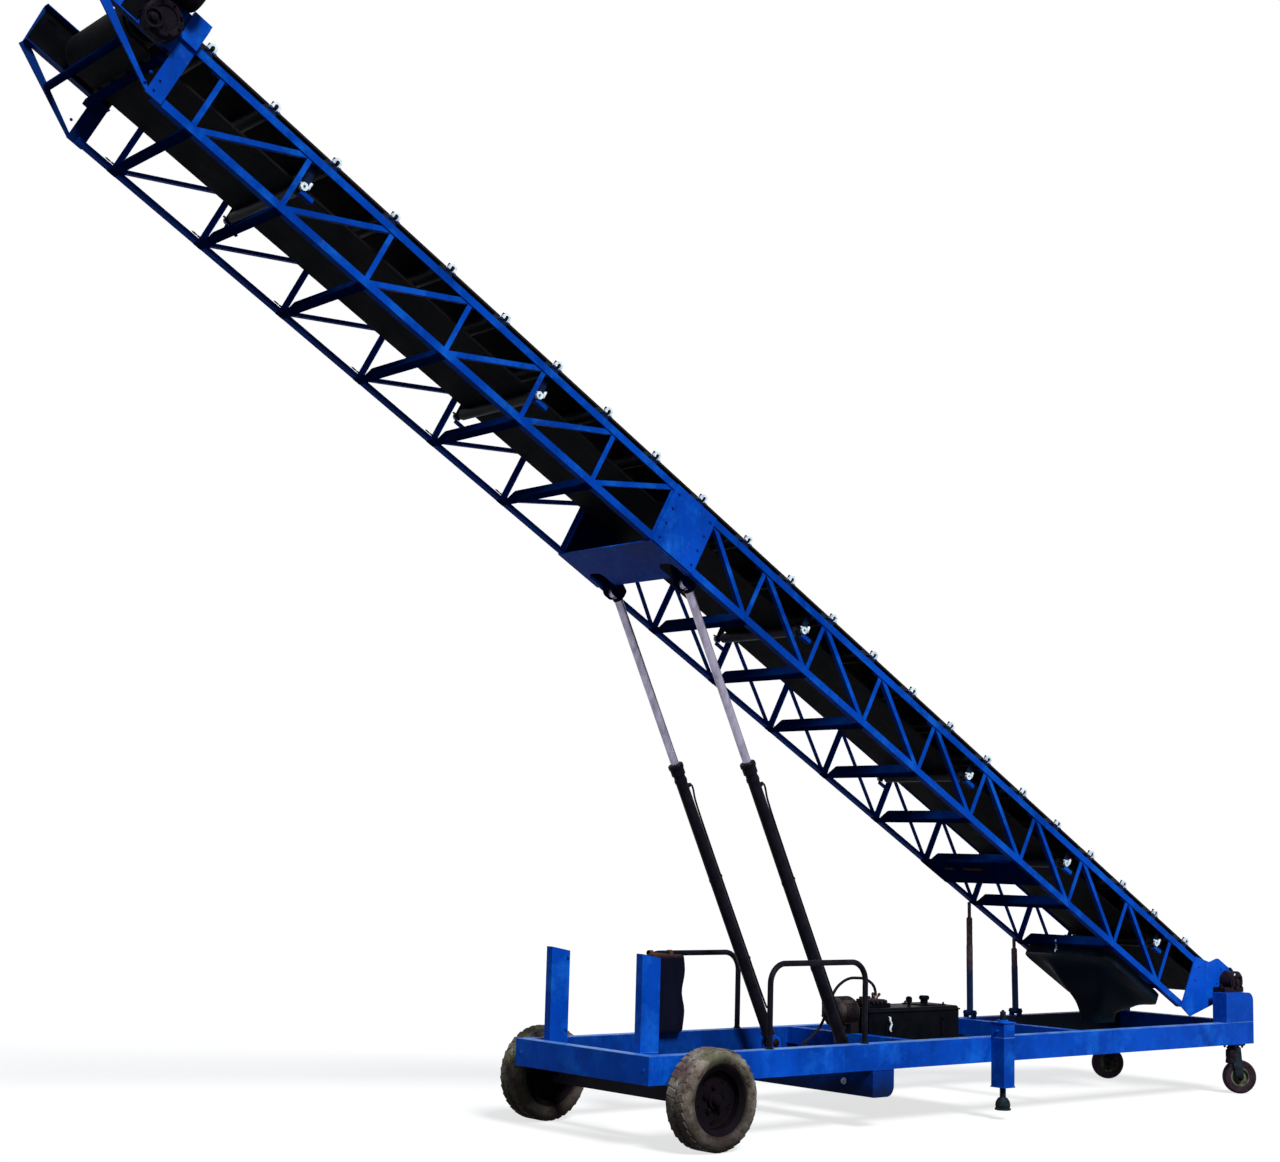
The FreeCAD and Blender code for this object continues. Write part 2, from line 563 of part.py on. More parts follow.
def brace(start, stop, wide=None):
    """A bar between two points of a side truss, behind the chords' upright legs."""
    leg = wide or size.braceLeg
    run = Vector(stop[0] - start[0], 0, stop[1] - start[1])
    length = run.Length
    bar = box(0, length, 0, size.braceWall, -leg / 2, leg / 2)
    bar = bar.fuse(box(0, length, 0, leg, -leg / 2, -leg / 2 + size.braceWall))
    turn = Rotation(Vector(1, 0, 0), run)
    bar.Placement = Placement(Vector(start[0], -outer + size.chordWall, start[1]), turn)
    return bar


bottomBar = low + size.chordLeg / 2
topBar = high - size.chordLeg / 2
room = box(-headPlateAt, -size.trussStart, -outer, 0, low + size.chordWall, high - size.chordWall)


def sideWeb():
    """Posts and diagonals of the near side, each a bar of its own between the chords."""
    places = stations + [spliceStart, spliceEnd] + upper
    bars = [brace((-place, bottomBar), (-place, topBar)) for place in places]
    aside = size.braceLeg / 2 + size.braceGap
    below = stations + [spliceStart]
    above = [spliceEnd] + upper
    bays = [(start, stop, bottomBar, topBar) for start, stop in zip(below[:-1], below[1:])]
    bays += [(start, stop, topBar, bottomBar) for start, stop in zip(above[:-1], above[1:])]
    for start, stop, startLevel, stopLevel in bays:
        bar = brace((-stop, stopLevel), (-start, startLevel))
        bars.append(bar.common(box(-stop + aside, -start - aside, -outer, 0, low, high)))
    return Part.makeCompound([bar.common(room) for bar in bars])


nearChords = Part.makeCompound([chord(size.trussStart, headPlateAt, low, False),
                                chord(size.trussStart, headPlateAt, high - size.chordLeg, True)])
nearWeb = sideWeb()
feature("boom_chords_near", nearChords, raised)
feature("boom_chords_far", mirrored(nearChords), raised)
feature("boom_web_near", nearWeb, raised)
feature("boom_web_far", mirrored(nearWeb), raised)

# splice: a plate outside each pair of chords and one below, notched round the cylinders' eyes
sidePlate = box(-spliceEnd, -spliceStart, -outer - size.spliceThick, -outer, low, high)
notchEnd = spliceStart + 130
notchHalf = 62
notchRound = 45
floorCorners = [(spliceEnd, -outer, 0), (spliceStart, -outer, 0)]
for side in (-1, 1):
    near = side * cylinderOffset - notchHalf
    far = side * cylinderOffset + notchHalf
    floorCorners += [(spliceStart, near, 0), (notchEnd, near, notchRound), (notchEnd, far, notchRound),
                     (spliceStart, far, 0)]
floorCorners += [(spliceStart, outer, 0), (spliceEnd, outer, 0)]
floorPlate = roundedFace([(-a, b, r) for a, b, r in floorCorners], lambda a,
                         b: Vector(a, b, low - size.spliceThick))
floorPlate = floorPlate.extrude(Vector(0, 0, size.spliceThick))
feature("splice_plates", Part.makeCompound([sidePlate, mirrored(sidePlate), floorPlate]), raised)

# ties across the underside, a flat with a web standing on it, and a tube between the head struts
inner = outer - size.chordWall
webHalf = outer - size.chordLeg
noseTie = 0.5 * (headPlateAt + boomLength) + 20
noseTieLevel = low + (noseTie - headPlateAt) / (boomLength - headPlateAt) * (-low - size.noseDrop) + 20
ties = [rod(Vector(-noseTie, -outer, noseTieLevel), Vector(-noseTie, outer, noseTieLevel), 42)]
for place in stations + upper:
    half = size.tieWidth / 2
    flat = box(-place - half, -place + half, -inner, inner, low - size.tieWall, low)
    webFace = roundedFace([(-webHalf, low, 0), (webHalf, low, 0), (webHalf - 60, low + size.tieDepth, 20),
                           (60 - webHalf, low + size.tieDepth, 20)], lambda a, b: Vector(-place, a, b))
    ties.append(flat.fuse(webFace.extrude(Vector(size.tieWall, 0, 0))))
feature("cross_ties", Part.makeCompound(ties), raised)

tailCorners = [
    (size.trussStart + 10, low, 0), (size.trussStart + 10, high, 0), (225, 30, 60), (150, 100, 40),
    (-30, 104, 50),
    (-95, 40, 60), (-90, -70, 50), (60, -215, 60), (265, low - 12, 25),
]
tailFace = roundedFace([(-a, b, r) for a, b, r in tailCorners], lambda a,
                       b: Vector(a, -outer - size.sidePlate, b))
tailPlate = tailFace.extrude(Vector(0, size.sidePlate, 0))
tailPlate = tailPlate.cut(rod(Vector(0, -outer - 50, 0), Vector(0, -outer + 50, 0), size.shaftDiameter))
feature("tail_plates", Part.makeCompound([tailPlate, mirrored(tailPlate)]), raised)

# head cheeks: upright plate, spill board with its top flange, mid bar and slanting end strut
headAxis = (size.tailDrumDiameter - size.headDrumDiameter) / 2
cheekBack = headPlateAt - size.headPlateWidth / 2
cheekMid = -size.cheekDrop
outerFace = -outer - size.sidePlate


def outboard(corners, thick):
    """A plate laid on the chords' outer faces, from corners along and above the boom."""
    outline = roundedFace([(-a, b, r) for a, b, r in corners], lambda a,
                          b: Vector(a, outerFace + size.sidePlate - thick, b))
    return outline.extrude(Vector(0, thick, 0))


headPlate = outboard([(cheekBack, low, 0), (cheekBack + size.headPlateWidth, low, 0),
                      (cheekBack + size.headPlateWidth, size.cheekRise, 0),
                      (cheekBack, size.cheekRise + 20, 15)],
                     size.sidePlate)
board = outboard([(cheekBack, cheekMid, 0), (boomLength, cheekMid, 0),
                  (boomLength + 12, size.cheekRise - 20, 0),
                  (boomLength + 12, size.cheekRise, 0), (cheekBack, size.cheekRise, 0)], size.cheekThick)
midBar = box(-boomLength, -cheekBack, -outer, -outer + 34, cheekMid, cheekMid + size.cheekThick)
topFlange = box(-boomLength - 12, -cheekBack, -outer, -outer + 34, size.cheekRise - size.cheekThick,
                size.cheekRise)
strut = outboard([(headPlateAt + 4, low, 0), (headPlateAt + 40, low, 0), (boomLength + 8, -size.noseDrop, 0),
                  (boomLength - 2, cheekMid + 4, 0), (boomLength - 42, cheekMid + 4, 0)], size.sidePlate)
hole = rod(Vector(-headDrumAt, -outer - 50, headAxis), Vector(-headDrumAt, 0, headAxis), size.shaftDiameter)
windowStart = headPlateAt + size.windowReach
window = box(-windowStart - size.windowLength, -windowStart, -outer - 50, -outer, cheekMid + size.cheekThick,
             size.cheekRise - size.cheekThick)
gearEdge = headDrumAt - size.gearBack - size.gearDiameter / 2 - 5
bracket = box(-gearEdge, -cheekBack - 6, outerFace - 20, outerFace, -60, size.cheekRise + 14)
nearCheek = fused([headPlate, board.cut(window), midBar, topFlange, strut, bracket]).cut(hole)
farCheek = mirrored(fused([headPlate, board, midBar, topFlange, strut]).cut(hole))
feature("head_cheeks", Part.makeCompound([nearCheek, farCheek]), raised)


drumHalf = outer - size.drumInset


def drum(label, at, level, diameter, shaftHalf):
    shell = pipe(Vector(-at, -drumHalf, level), Vector(-at, drumHalf, level), diameter, 10)
    discs = []
    for reach in (-1, 1):
        edge = reach * (drumHalf - 30)
        discs.append(rod(Vector(-at, edge - 6, level), Vector(-at, edge + 6, level), diameter - 20))
    shaft = rod(Vector(-at, -shaftHalf, level), Vector(-at, shaftHalf, level), size.shaftDiameter)
    return feature(label, fused([shell, shaft] + discs), raised)


drum("tail_drum", 0, 0, size.tailDrumDiameter, bearingOuter + 10)
drum("head_drum", headDrumAt, headAxis, size.headDrumDiameter, outer + size.sidePlate)

# belt: one closed loop round both drums, lifted clear of them by the drum's running gap
beltHalf = outer - size.beltInset
headRadius = size.headDrumDiameter / 2 + size.runningGap
tailRadius = size.tailDrumDiameter / 2 + size.runningGap


def loop(extra):
    """The solid inside the belt's line, at a distance outside the drums."""
    head = Vector(-headDrumAt, 0, headAxis)
    spread = math.asin((headRadius - tailRadius) / head.Length)
    skew = Rotation(Vector(0, 1, 0), math.degrees(math.atan2(headAxis, headDrumAt)))
    above = skew.multVec(Vector(math.sin(spread), 0, math.cos(spread)))
    below = skew.multVec(Vector(math.sin(spread), 0, -math.cos(spread)))
    big = headRadius + extra
    small = tailRadius + extra
    edges = [
        Part.LineSegment(above * small, head + above * big),
        Part.Arc(head + above * big, head + skew.multVec(Vector(-big, 0, 0)), head + below * big),
        Part.LineSegment(head + below * big, below * small),
        Part.Arc(below * small, skew.multVec(Vector(small, 0, 0)), above * small),
    ]
    face = Part.Face(Part.Wire([edge.toShape() for edge in edges]))
    face.translate(Vector(0, -beltHalf, 0))
    return face.extrude(Vector(0, 2 * beltHalf, 0))


feature("belt", loop(size.beltThick).cut(loop(0)), raised)


# carrying idlers on the upper chords, return idlers between the side trusses
rollHalf = drumHalf - 10
idlerAxis = size.tailDrumDiameter / 2 - size.idlerPipe / 2
idlerPitch = (headPlateAt - size.idlerReach - size.idlerStart) / (size.idlerCount - 1)
carriers = []
for step in range(int(size.idlerCount)):
    place = size.idlerStart + idlerPitch * step
    roll = rod(Vector(-place, -rollHalf, idlerAxis), Vector(-place, rollHalf, idlerAxis), size.idlerPipe)
    spindle = rod(Vector(-place, -outer + 12, idlerAxis), Vector(-place, outer - 12, idlerAxis), 20)
    ears = []
    for reach in (-1, 1):
        edge = reach * (outer - 20)
        ears.append(box(-place - 25, -place + 25, edge - 4, edge + 4, high, idlerAxis + 18))
    carriers.append(fused([roll, spindle] + ears))
feature("carrying_idlers", Part.makeCompound(carriers), raised)

slope = -(size.headDrumDiameter - size.tailDrumDiameter) / headDrumAt
returnPlaces = [stations[step] + size.returnAside for step in (0, 2, 4, 7)]
returnPlaces += [upper[step] - size.returnAside / 2 for step in (1, 4)]
returners = []
for place in returnPlaces:
    level = -tailRadius + slope * place - size.beltThick - size.returnPipe / 2 - 1
    roll = rod(Vector(-place, -rollHalf, level), Vector(-place, rollHalf, level), size.returnPipe)
    hangerFace = outer - size.chordLeg - 4
    spindle = rod(Vector(-place, -hangerFace, level), Vector(-place, hangerFace, level), 20)
    hangers = []
    for reach in (-1, 1):
        edge = reach * hangerFace
        hangers.append(box(-place - 20, -place + 20, edge - 3, edge + 3, level - 18, high - size.chordWall))
        lip = edge + reach * 12
        hangers.append(box(-place - 20, -place + 20, lip - 15, lip + 15, high - size.chordWall - 6,
                           high - size.chordWall))
    returners.append(fused([roll, spindle] + hangers))
feature("return_idlers", Part.makeCompound(returners), raised)

# head drive: gearbox on the cheek over the drum's shaft, with a motor lying along the boom above it
gearOuter = outerFace - size.gearWidth
gearAxis = Vector(-headDrumAt + size.gearBack, 0, headAxis - size.gearDrop)
bossAxis = Vector(-headDrumAt - size.bossAhead, 0, headAxis - size.bossDrop)
inFace = Vector(0, outerFace, 0)
outFace = Vector(0, gearOuter, 0)
gearCase = rod(gearAxis + outFace, gearAxis + inFace, size.gearDiameter)
gearCase = gearCase.makeFillet(14, [edge for edge in gearCase.Edges if edge.Length > 2 * size.gearDiameter])
bossDepth = Vector(0, 18, 0)
boss = pipe(bossAxis + outFace - bossDepth, bossAxis + outFace + bossDepth, size.gearBoss, 12)
core = rod(bossAxis + outFace - bossDepth / 2, bossAxis + outFace + bossDepth, size.gearBoss / 2)
motorMiddle = Vector(-headDrumAt - size.driveMotorReach, outerFace - size.driveMotor / 2 - 3,
                     headAxis + size.driveMotorRise)
shell = rod(motorMiddle, motorMiddle + Vector(size.driveMotorLength, 0, 0), size.driveMotor)
neck = rod(motorMiddle - Vector(30, 0, 0), motorMiddle, size.driveMotor - 40)
saddle = box(gearAxis.x - 60, gearAxis.x + 30, gearOuter + 12, outerFace - 12, gearAxis.z, motorMiddle.z)
feature("drive_gearbox", fused([gearCase, boss, core, shell, neck, saddle]), raised)

# spill funnel under the tail of the boom: a skirt that narrows to an open spout
skirtMiddle = (size.funnelStart + size.funnelEnd) / 2
skirtLow = low - size.tieWall - size.funnelSkirt
spoutTilt = Rotation(Vector(0, 1, 0), -size.boomAngle)
spoutCentre = Vector(-size.spoutAt, 0, -size.spoutDrop)


def ring(length, width, radius, toPoint):
    """A rounded rectangle as a closed wire."""
    corners = [(-length / 2, -width / 2, radius), (length / 2, -width / 2, radius),
               (length / 2, width / 2, radius), (-length / 2, width / 2, radius)]
    return roundedFace(corners, toPoint).OuterWire


def funnelSolid(wall, reach):
    """The funnel's form drawn in by a wall, its two ends moved out by reach."""
    length = size.funnelEnd - size.funnelStart - 2 * wall
    width = 2 * (outer - size.funnelInset - wall)
    upperRing = ring(length, width, size.spoutRound, lambda a,
                     b: Vector(a - skirtMiddle, b, low - size.tieWall + reach))
    lowerRing = ring(length, width, size.spoutRound, lambda a, b: Vector(a - skirtMiddle, b, skirtLow))
    spout = ring(size.spoutLength - 2 * wall, size.spoutWidth - 2 * wall, size.spoutRound,
                 lambda a, b: spoutCentre + spoutTilt.multVec(Vector(a, b, 0)))
    end = ring(size.spoutLength - 2 * wall, size.spoutWidth - 2 * wall, size.spoutRound,
               lambda a, b: spoutCentre + spoutTilt.multVec(Vector(a, b, -50 - reach)))
    parts = [Part.makeLoft(pair, True, True) for pair in ([upperRing, lowerRing], [lowerRing, spout],
                                                          [spout, end])]
    return parts[0].fuse(parts[1]).fuse(parts[2])


feature("spill_pan", funnelSolid(0, 0).cut(funnelSolid(size.funnelWall, 2)), raised)

# yoke that takes the cylinders' rods under the boom
eyeGap = size.eyeWidth / 2 + 6
yokeX = -cylinderEyeAt - 137
yokeZ = low + 90
yokeEnd = inner - size.spliceThick
yokeTube = 76
yoke = [rod(Vector(yokeX, -yokeEnd, yokeZ), Vector(yokeX, yokeEnd, yokeZ), yokeTube)]
postClear = size.braceLeg / 2 + size.braceGap
for reach in (-1, 1):
    edge = reach * (inner - size.spliceThick / 2)
    yoke.append(box(-spliceEnd + postClear, -spliceStart - postClear, edge - size.spliceThick / 2,
                    edge + size.spliceThick / 2, low + size.chordWall, high - size.chordWall))
eyePoint = Vector(-cylinderEyeAt, 0, -size.cylinderEyeDrop)
for name, side in sides:
    for reach in (-1, 1):
        face = side * cylinderOffset + reach * eyeGap + min(0, reach) * size.lugWall
        lugCorners = [(eyePoint.x + 42, eyePoint.z - 42, 40), (eyePoint.x + 42, eyePoint.z + 30, 20),
                      (yokeX + 20, yokeZ + 10, 0), (yokeX - 20, yokeZ - 10, 0),
                      (eyePoint.x - 42, eyePoint.z - 42, 40)]
        lug = roundedFace(lugCorners, lambda a, b: Vector(a, face, b)).extrude(Vector(0, size.lugWall, 0))
        button = face + (size.lugWall if reach > 0 else -6)
        yoke.append(lug)
        yoke.append(rod(Vector(eyePoint.x, button, eyePoint.z), Vector(eyePoint.x, button + 6, eyePoint.z),
                        size.pinDiameter + 12))
feature("lift_yoke", fused(yoke), raised)

# ---------------------------------------------------------------- cylinders
eyeWorld = raised.multVec(eyePoint)
aim = eyeWorld - cylinderFoot
reachNow = aim.Length
lean = Rotation(Vector(1, 0, 0), aim)
bore = size.barrelDiameter - 2 * size.barrelWall


def eyeRing():
    ring = rod(Vector(0, -size.eyeWidth / 2, 0), Vector(0, size.eyeWidth / 2, 0), size.eyeDiameter)
    hole = size.pinDiameter + 2 * size.runningGap
    return ring.cut(rod(Vector(0, -size.eyeWidth, 0), Vector(0, size.eyeWidth, 0), hole))


for name, side in sides:
    spot = Placement(cylinderFoot + Vector(0, side * cylinderOffset, 0), lean)
    shell = rod(Vector(size.eyeDiameter / 2 + 18, 0, 0), Vector(size.barrelLength, 0, 0), size.barrelDiameter)
    shell = shell.fuse(rod(Vector(), Vector(size.eyeDiameter, 0, 0), size.eyeWidth - 2))
    gland = rod(Vector(size.barrelLength - 60, 0, 0), Vector(size.barrelLength, 0, 0), size.glandDiameter)
    shell = shell.fuse(gland)
    shell = shell.cut(rod(Vector(size.eyeDiameter / 2 + 30, 0, 0), Vector(size.barrelLength - 50, 0, 0),
                          bore))
    shell = shell.cut(rod(Vector(size.barrelLength - 60, 0, 0), Vector(size.barrelLength + 1, 0, 0),
                          size.rodDiameter + 2 * size.runningGap))
    shell = shell.fuse(eyeRing())
    shell = shell.cut(rod(Vector(0, -size.eyeWidth, 0), Vector(0, size.eyeWidth, 0),
                          size.pinDiameter + 2 * size.runningGap))
    feature(f"cylinder_barrel_{name}", shell, spot)
    start = size.barrelLength - 220
    stop = reachNow - size.eyeDiameter / 2 + 6
    pistonRadius = bore / 2 - size.runningGap
    ramCorners = [(start - 60, 0, 0), (stop, 0, 0), (stop, size.rodDiameter / 2, 0),
                  (start, size.rodDiameter / 2, 0),
                  (start, pistonRadius, 0), (start - 60, pistonRadius, 0)]
    ram = roundedFace(ramCorners, lambda a, b: Vector(a, 0, b)).revolve(Vector(), Vector(1, 0, 0), 360)
    end = eyeRing()
    end.translate(Vector(reachNow, 0, 0))
    feature(f"cylinder_rod_{name}", ram.fuse(end), spot)

# ---------------------------------------------------------------- props
propY = size.frameWidth / 2 - size.railWidth + size.propSize / 2
feet = []
for name, place, length, lean in (("front", pivotAt - size.frontPropInset, size.frontPropLength,
                                   size.frontPropLean),
                                  ("rear", pivotAt - size.rearPropInset, size.rearPropLength,
                                   size.rearPropLean)):
    hinge = Vector(place, propY, size.frameTop + size.propFootHeight)
    lift = length - size.propFootHeight
    aside = propY - (outer + size.propGap + size.propRod / 2)
    along = Vector(-lean, -aside, lift).normalize()
    sleeve = rod(along * 0, along * size.propSleeve * length / size.frontPropLength, size.propSize)
    bar = rod(along * 0, along * lift, size.propRod)
    earFace = size.propSize / 2 + 8
    boss = rod(Vector(0, -earFace + size.runningGap, 0), Vector(0, earFace - size.runningGap, 0), 40)
    hole = rod(Vector(0, -earFace, 0), Vector(0, earFace, 0), size.propPin + 2 * size.pinPlay)
    feature(f"boom_prop_{name}", fused([sleeve, bar, boss]).cut(hole), Placement(hinge, Rotation()))
    foot = [rod(hinge - Vector(0, earFace + 12, 0), hinge + Vector(0, earFace + 12, 0), size.propPin)]
    for reach in (-1, 1):
        edge = propY + reach * (earFace + 3)
        foot.append(box(place - 26, place + 26, edge - 3, edge + 3, size.frameTop, hinge.z + 18))
    feet.append(fused(foot))
feature("prop_feet", Part.makeCompound(feet))

# hose from the top of the lifting beam over to the tank
hoseStart = size.liftBeamAt + 35
hoseEnd = size.tankAt + 335
hosePath = [(0, 0), (0, 0.23), (0.25, 0.53), (0.45, 1.37), (0.62, 1.57), (0.86, 1.55), (1, 1.37), (1, 1)]
hoseSpan = hoseEnd - hoseStart
hoseRise = size.tankTop - railBottom
hosePoints = [Vector(hoseStart + a * hoseSpan, size.hoseAside, railBottom + b * hoseRise) for a,
              b in hosePath]


def hosePipe(points, diameter):
    """Straight runs joined by tangent arcs, swept as one tube."""
    edges = []
    last = points[0]
    for before, here, after in zip(points[:-2], points[1:-1], points[2:]):
        back = (before - here).normalize()
        ahead = (after - here).normalize()
        run = min((before - here).Length, (after - here).Length)
        half = back.getAngle(ahead) / 2
        reach = 0.45 * run
        radius = reach * math.tan(half)
        start = here + back * reach
        stop = here + ahead * reach
        middle = here + (back + ahead).normalize() * (radius / math.sin(half) - radius)
        edges.append(Part.LineSegment(last, start).toShape())
        edges.append(Part.Arc(start, middle, stop).toShape())
        last = stop
    edges.append(Part.LineSegment(last, points[-1]).toShape())
    path = Part.Wire(edges)
    ring = Part.Wire(Part.makeCircle(diameter / 2, points[0], points[1] - points[0]))
    return path.makePipeShell([ring], True, False)


feature("pressure_hose", hosePipe(hosePoints, size.hoseDiameter))

doc.recompute()
for item in doc.Objects:
    assert not {"Invalid", "Error"} & set(item.State), f"{item.Label} did not build: {item.State}"
for item in subparts:
    assert not item.Shape.isNull() and item.Shape.isValid(), f"{item.Label} has a bad shape"
for item in subparts:
    item.Shape.exportStep(f"parts/{item.Label}.step")
print(len(subparts), "sub-parts")
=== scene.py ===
import json
import math

import bmesh
import bpy
from mathutils import Matrix, Vector, noise


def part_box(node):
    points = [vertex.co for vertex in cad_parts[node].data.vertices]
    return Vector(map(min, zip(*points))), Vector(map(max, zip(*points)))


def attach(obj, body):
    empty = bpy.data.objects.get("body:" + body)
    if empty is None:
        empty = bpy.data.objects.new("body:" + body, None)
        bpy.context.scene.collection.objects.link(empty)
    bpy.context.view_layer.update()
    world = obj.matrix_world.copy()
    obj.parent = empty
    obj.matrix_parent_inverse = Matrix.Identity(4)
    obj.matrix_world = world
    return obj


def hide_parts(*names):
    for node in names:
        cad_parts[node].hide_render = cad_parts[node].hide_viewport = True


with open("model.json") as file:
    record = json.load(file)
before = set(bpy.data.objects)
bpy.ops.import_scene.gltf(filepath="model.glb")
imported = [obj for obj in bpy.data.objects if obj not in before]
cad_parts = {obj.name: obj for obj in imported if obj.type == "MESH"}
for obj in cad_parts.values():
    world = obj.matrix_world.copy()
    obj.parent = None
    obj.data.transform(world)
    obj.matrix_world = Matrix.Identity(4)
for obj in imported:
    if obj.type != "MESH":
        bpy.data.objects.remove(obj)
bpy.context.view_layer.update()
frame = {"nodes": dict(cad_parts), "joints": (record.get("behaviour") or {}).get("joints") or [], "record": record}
nodes = frame["nodes"]
joints = {joint["name"]: joint for joint in frame["joints"]}
bothSides = (("near", -1), ("far", 1))
quarter = math.pi / 2

# camera: where it stands and how it looks, in metres and radians
camera = {"place": (-8.163, -8.637, 1.5285), "yaw": 0.7059, "pitch": 0.1366, "roll": -0.0270, "lens": 56.244}
sight = bpy.data.cameras.new("camera")
sight.lens = camera["lens"]
sight.sensor_width = 36
viewer = bpy.data.objects.new("camera", sight)
bpy.context.collection.objects.link(viewer)
yaw, pitch, roll = camera["yaw"], camera["pitch"], camera["roll"]
ahead = Vector((math.sin(yaw) * math.cos(pitch), math.cos(yaw) * math.cos(pitch), math.sin(pitch)))
right = Vector((math.cos(yaw), -math.sin(yaw), 0))
down = ahead.cross(right)
across = right * math.cos(roll) + down * math.sin(roll)
below = down * math.cos(roll) - right * math.sin(roll)
turn = Matrix((across, -below, -ahead)).transposed()
viewer.matrix_world = Matrix.Translation(camera["place"]) @ turn.to_4x4()
bpy.context.scene.camera = viewer


# shader maths written as plain expressions
class Wire:
    def __init__(self, tree, socket):
        self.tree = tree
        self.socket = socket

    def math(self, operation, first, second):
        node = self.tree.nodes.new("ShaderNodeMath")
        node.operation = operation
        plug(self.tree, node.inputs[0], first)
        plug(self.tree, node.inputs[1], second)
        return Wire(self.tree, node.outputs[0])

    def __add__(self, other):
        return self.math("ADD", self, other)

    def __radd__(self, other):
        return self.math("ADD", other, self)

    def __sub__(self, other):
        return self.math("SUBTRACT", self, other)

    def __rsub__(self, other):
        return self.math("SUBTRACT", other, self)

    def __mul__(self, other):
        return self.math("MULTIPLY", self, other)

    def __rmul__(self, other):
        return self.math("MULTIPLY", other, self)

    def __pow__(self, other):
        return self.math("POWER", self, other)

    def __abs__(self):
        return self.math("ABSOLUTE", self, 0)


def plug(tree, slot, value):
    if isinstance(value, Wire):
        tree.links.new(value.socket, slot)
    elif isinstance(value, tuple) and len(value) == 3 and len(slot.default_value) == 4:
        slot.default_value = (*value, 1)
    else:
        slot.default_value = value


class Finish:
    def __init__(self, name, owner=None):
        self.owner = owner or bpy.data.materials.new(name)
        self.owner.use_nodes = True
        self.tree = self.owner.node_tree
        self.tree.nodes.clear()

    def add(self, kind, settings=None, output=0, **links):
        node = self.tree.nodes.new(kind)
        for name, value in (settings or {}).items():
            setattr(node, name, value)
        for name, value in links.items():
            key = int(name[1:]) if name[1:].isdigit() else name.replace("_", " ")
            plug(self.tree, node.inputs[key], value)
        return Wire(self.tree, node.outputs[output]) if len(node.outputs) else None

    def place(self, stretch=(1, 1, 1), shift=(0, 0, 0)):
        spot = self.add("ShaderNodeTexCoord", output=3)
        return self.add("ShaderNodeMapping", Vector=spot, Scale=stretch, Location=shift)

    def axes(self, middle=(0, 0, 0)):
        spot = self.place(shift=tuple(-value for value in middle))
        return [self.add("ShaderNodeSeparateXYZ", output=axis, Vector=spot) for axis in range(3)]

    def noise(self, scale, detail=4.0, roughness=0.55, stretch=(1, 1, 1)):
        return self.add("ShaderNodeTexNoise", Vector=self.place(stretch), Scale=scale, Detail=detail,
                        Roughness=roughness)

    def band(self, value, low, high):
        return self.add("ShaderNodeMapRange", {"clamp": True}, Value=value, From_Min=low, From_Max=high)

    def blend(self, factor, first, second):
        return self.add("ShaderNodeMix", {"data_type": "RGBA"}, output=2, i0=factor, i6=first, i7=second)

    def stain(self, base, value, low, high, tint, share=1.0):
        # where the value passes from low to high, a share of the tint covers the base
        return self.blend(self.band(value, low, high) * share, base, tint)

    def bump(self, height, strength, distance=0.002):
        return self.add("ShaderNodeBump", Height=height, Strength=strength, Distance=distance)

    def seenDirectly(self):
        rays = [self.add("ShaderNodeLightPath", output=index) for index in (0, 3, 6)]
        return rays[0].math("MAXIMUM", rays[0].math("MAXIMUM", rays[0], rays[1]), rays[2])

    def shader(self, colour, roughness, height, strength, distance=0.002, shine=0.5, metallic=0.0):
        body = self.add("ShaderNodeBsdfPrincipled", Base_Color=colour, Roughness=roughness, Metallic=metallic,
                        Normal=self.bump(height, strength, distance), Specular_IOR_Level=shine)
        self.add("ShaderNodeOutputMaterial", Surface=body)
        return self.owner


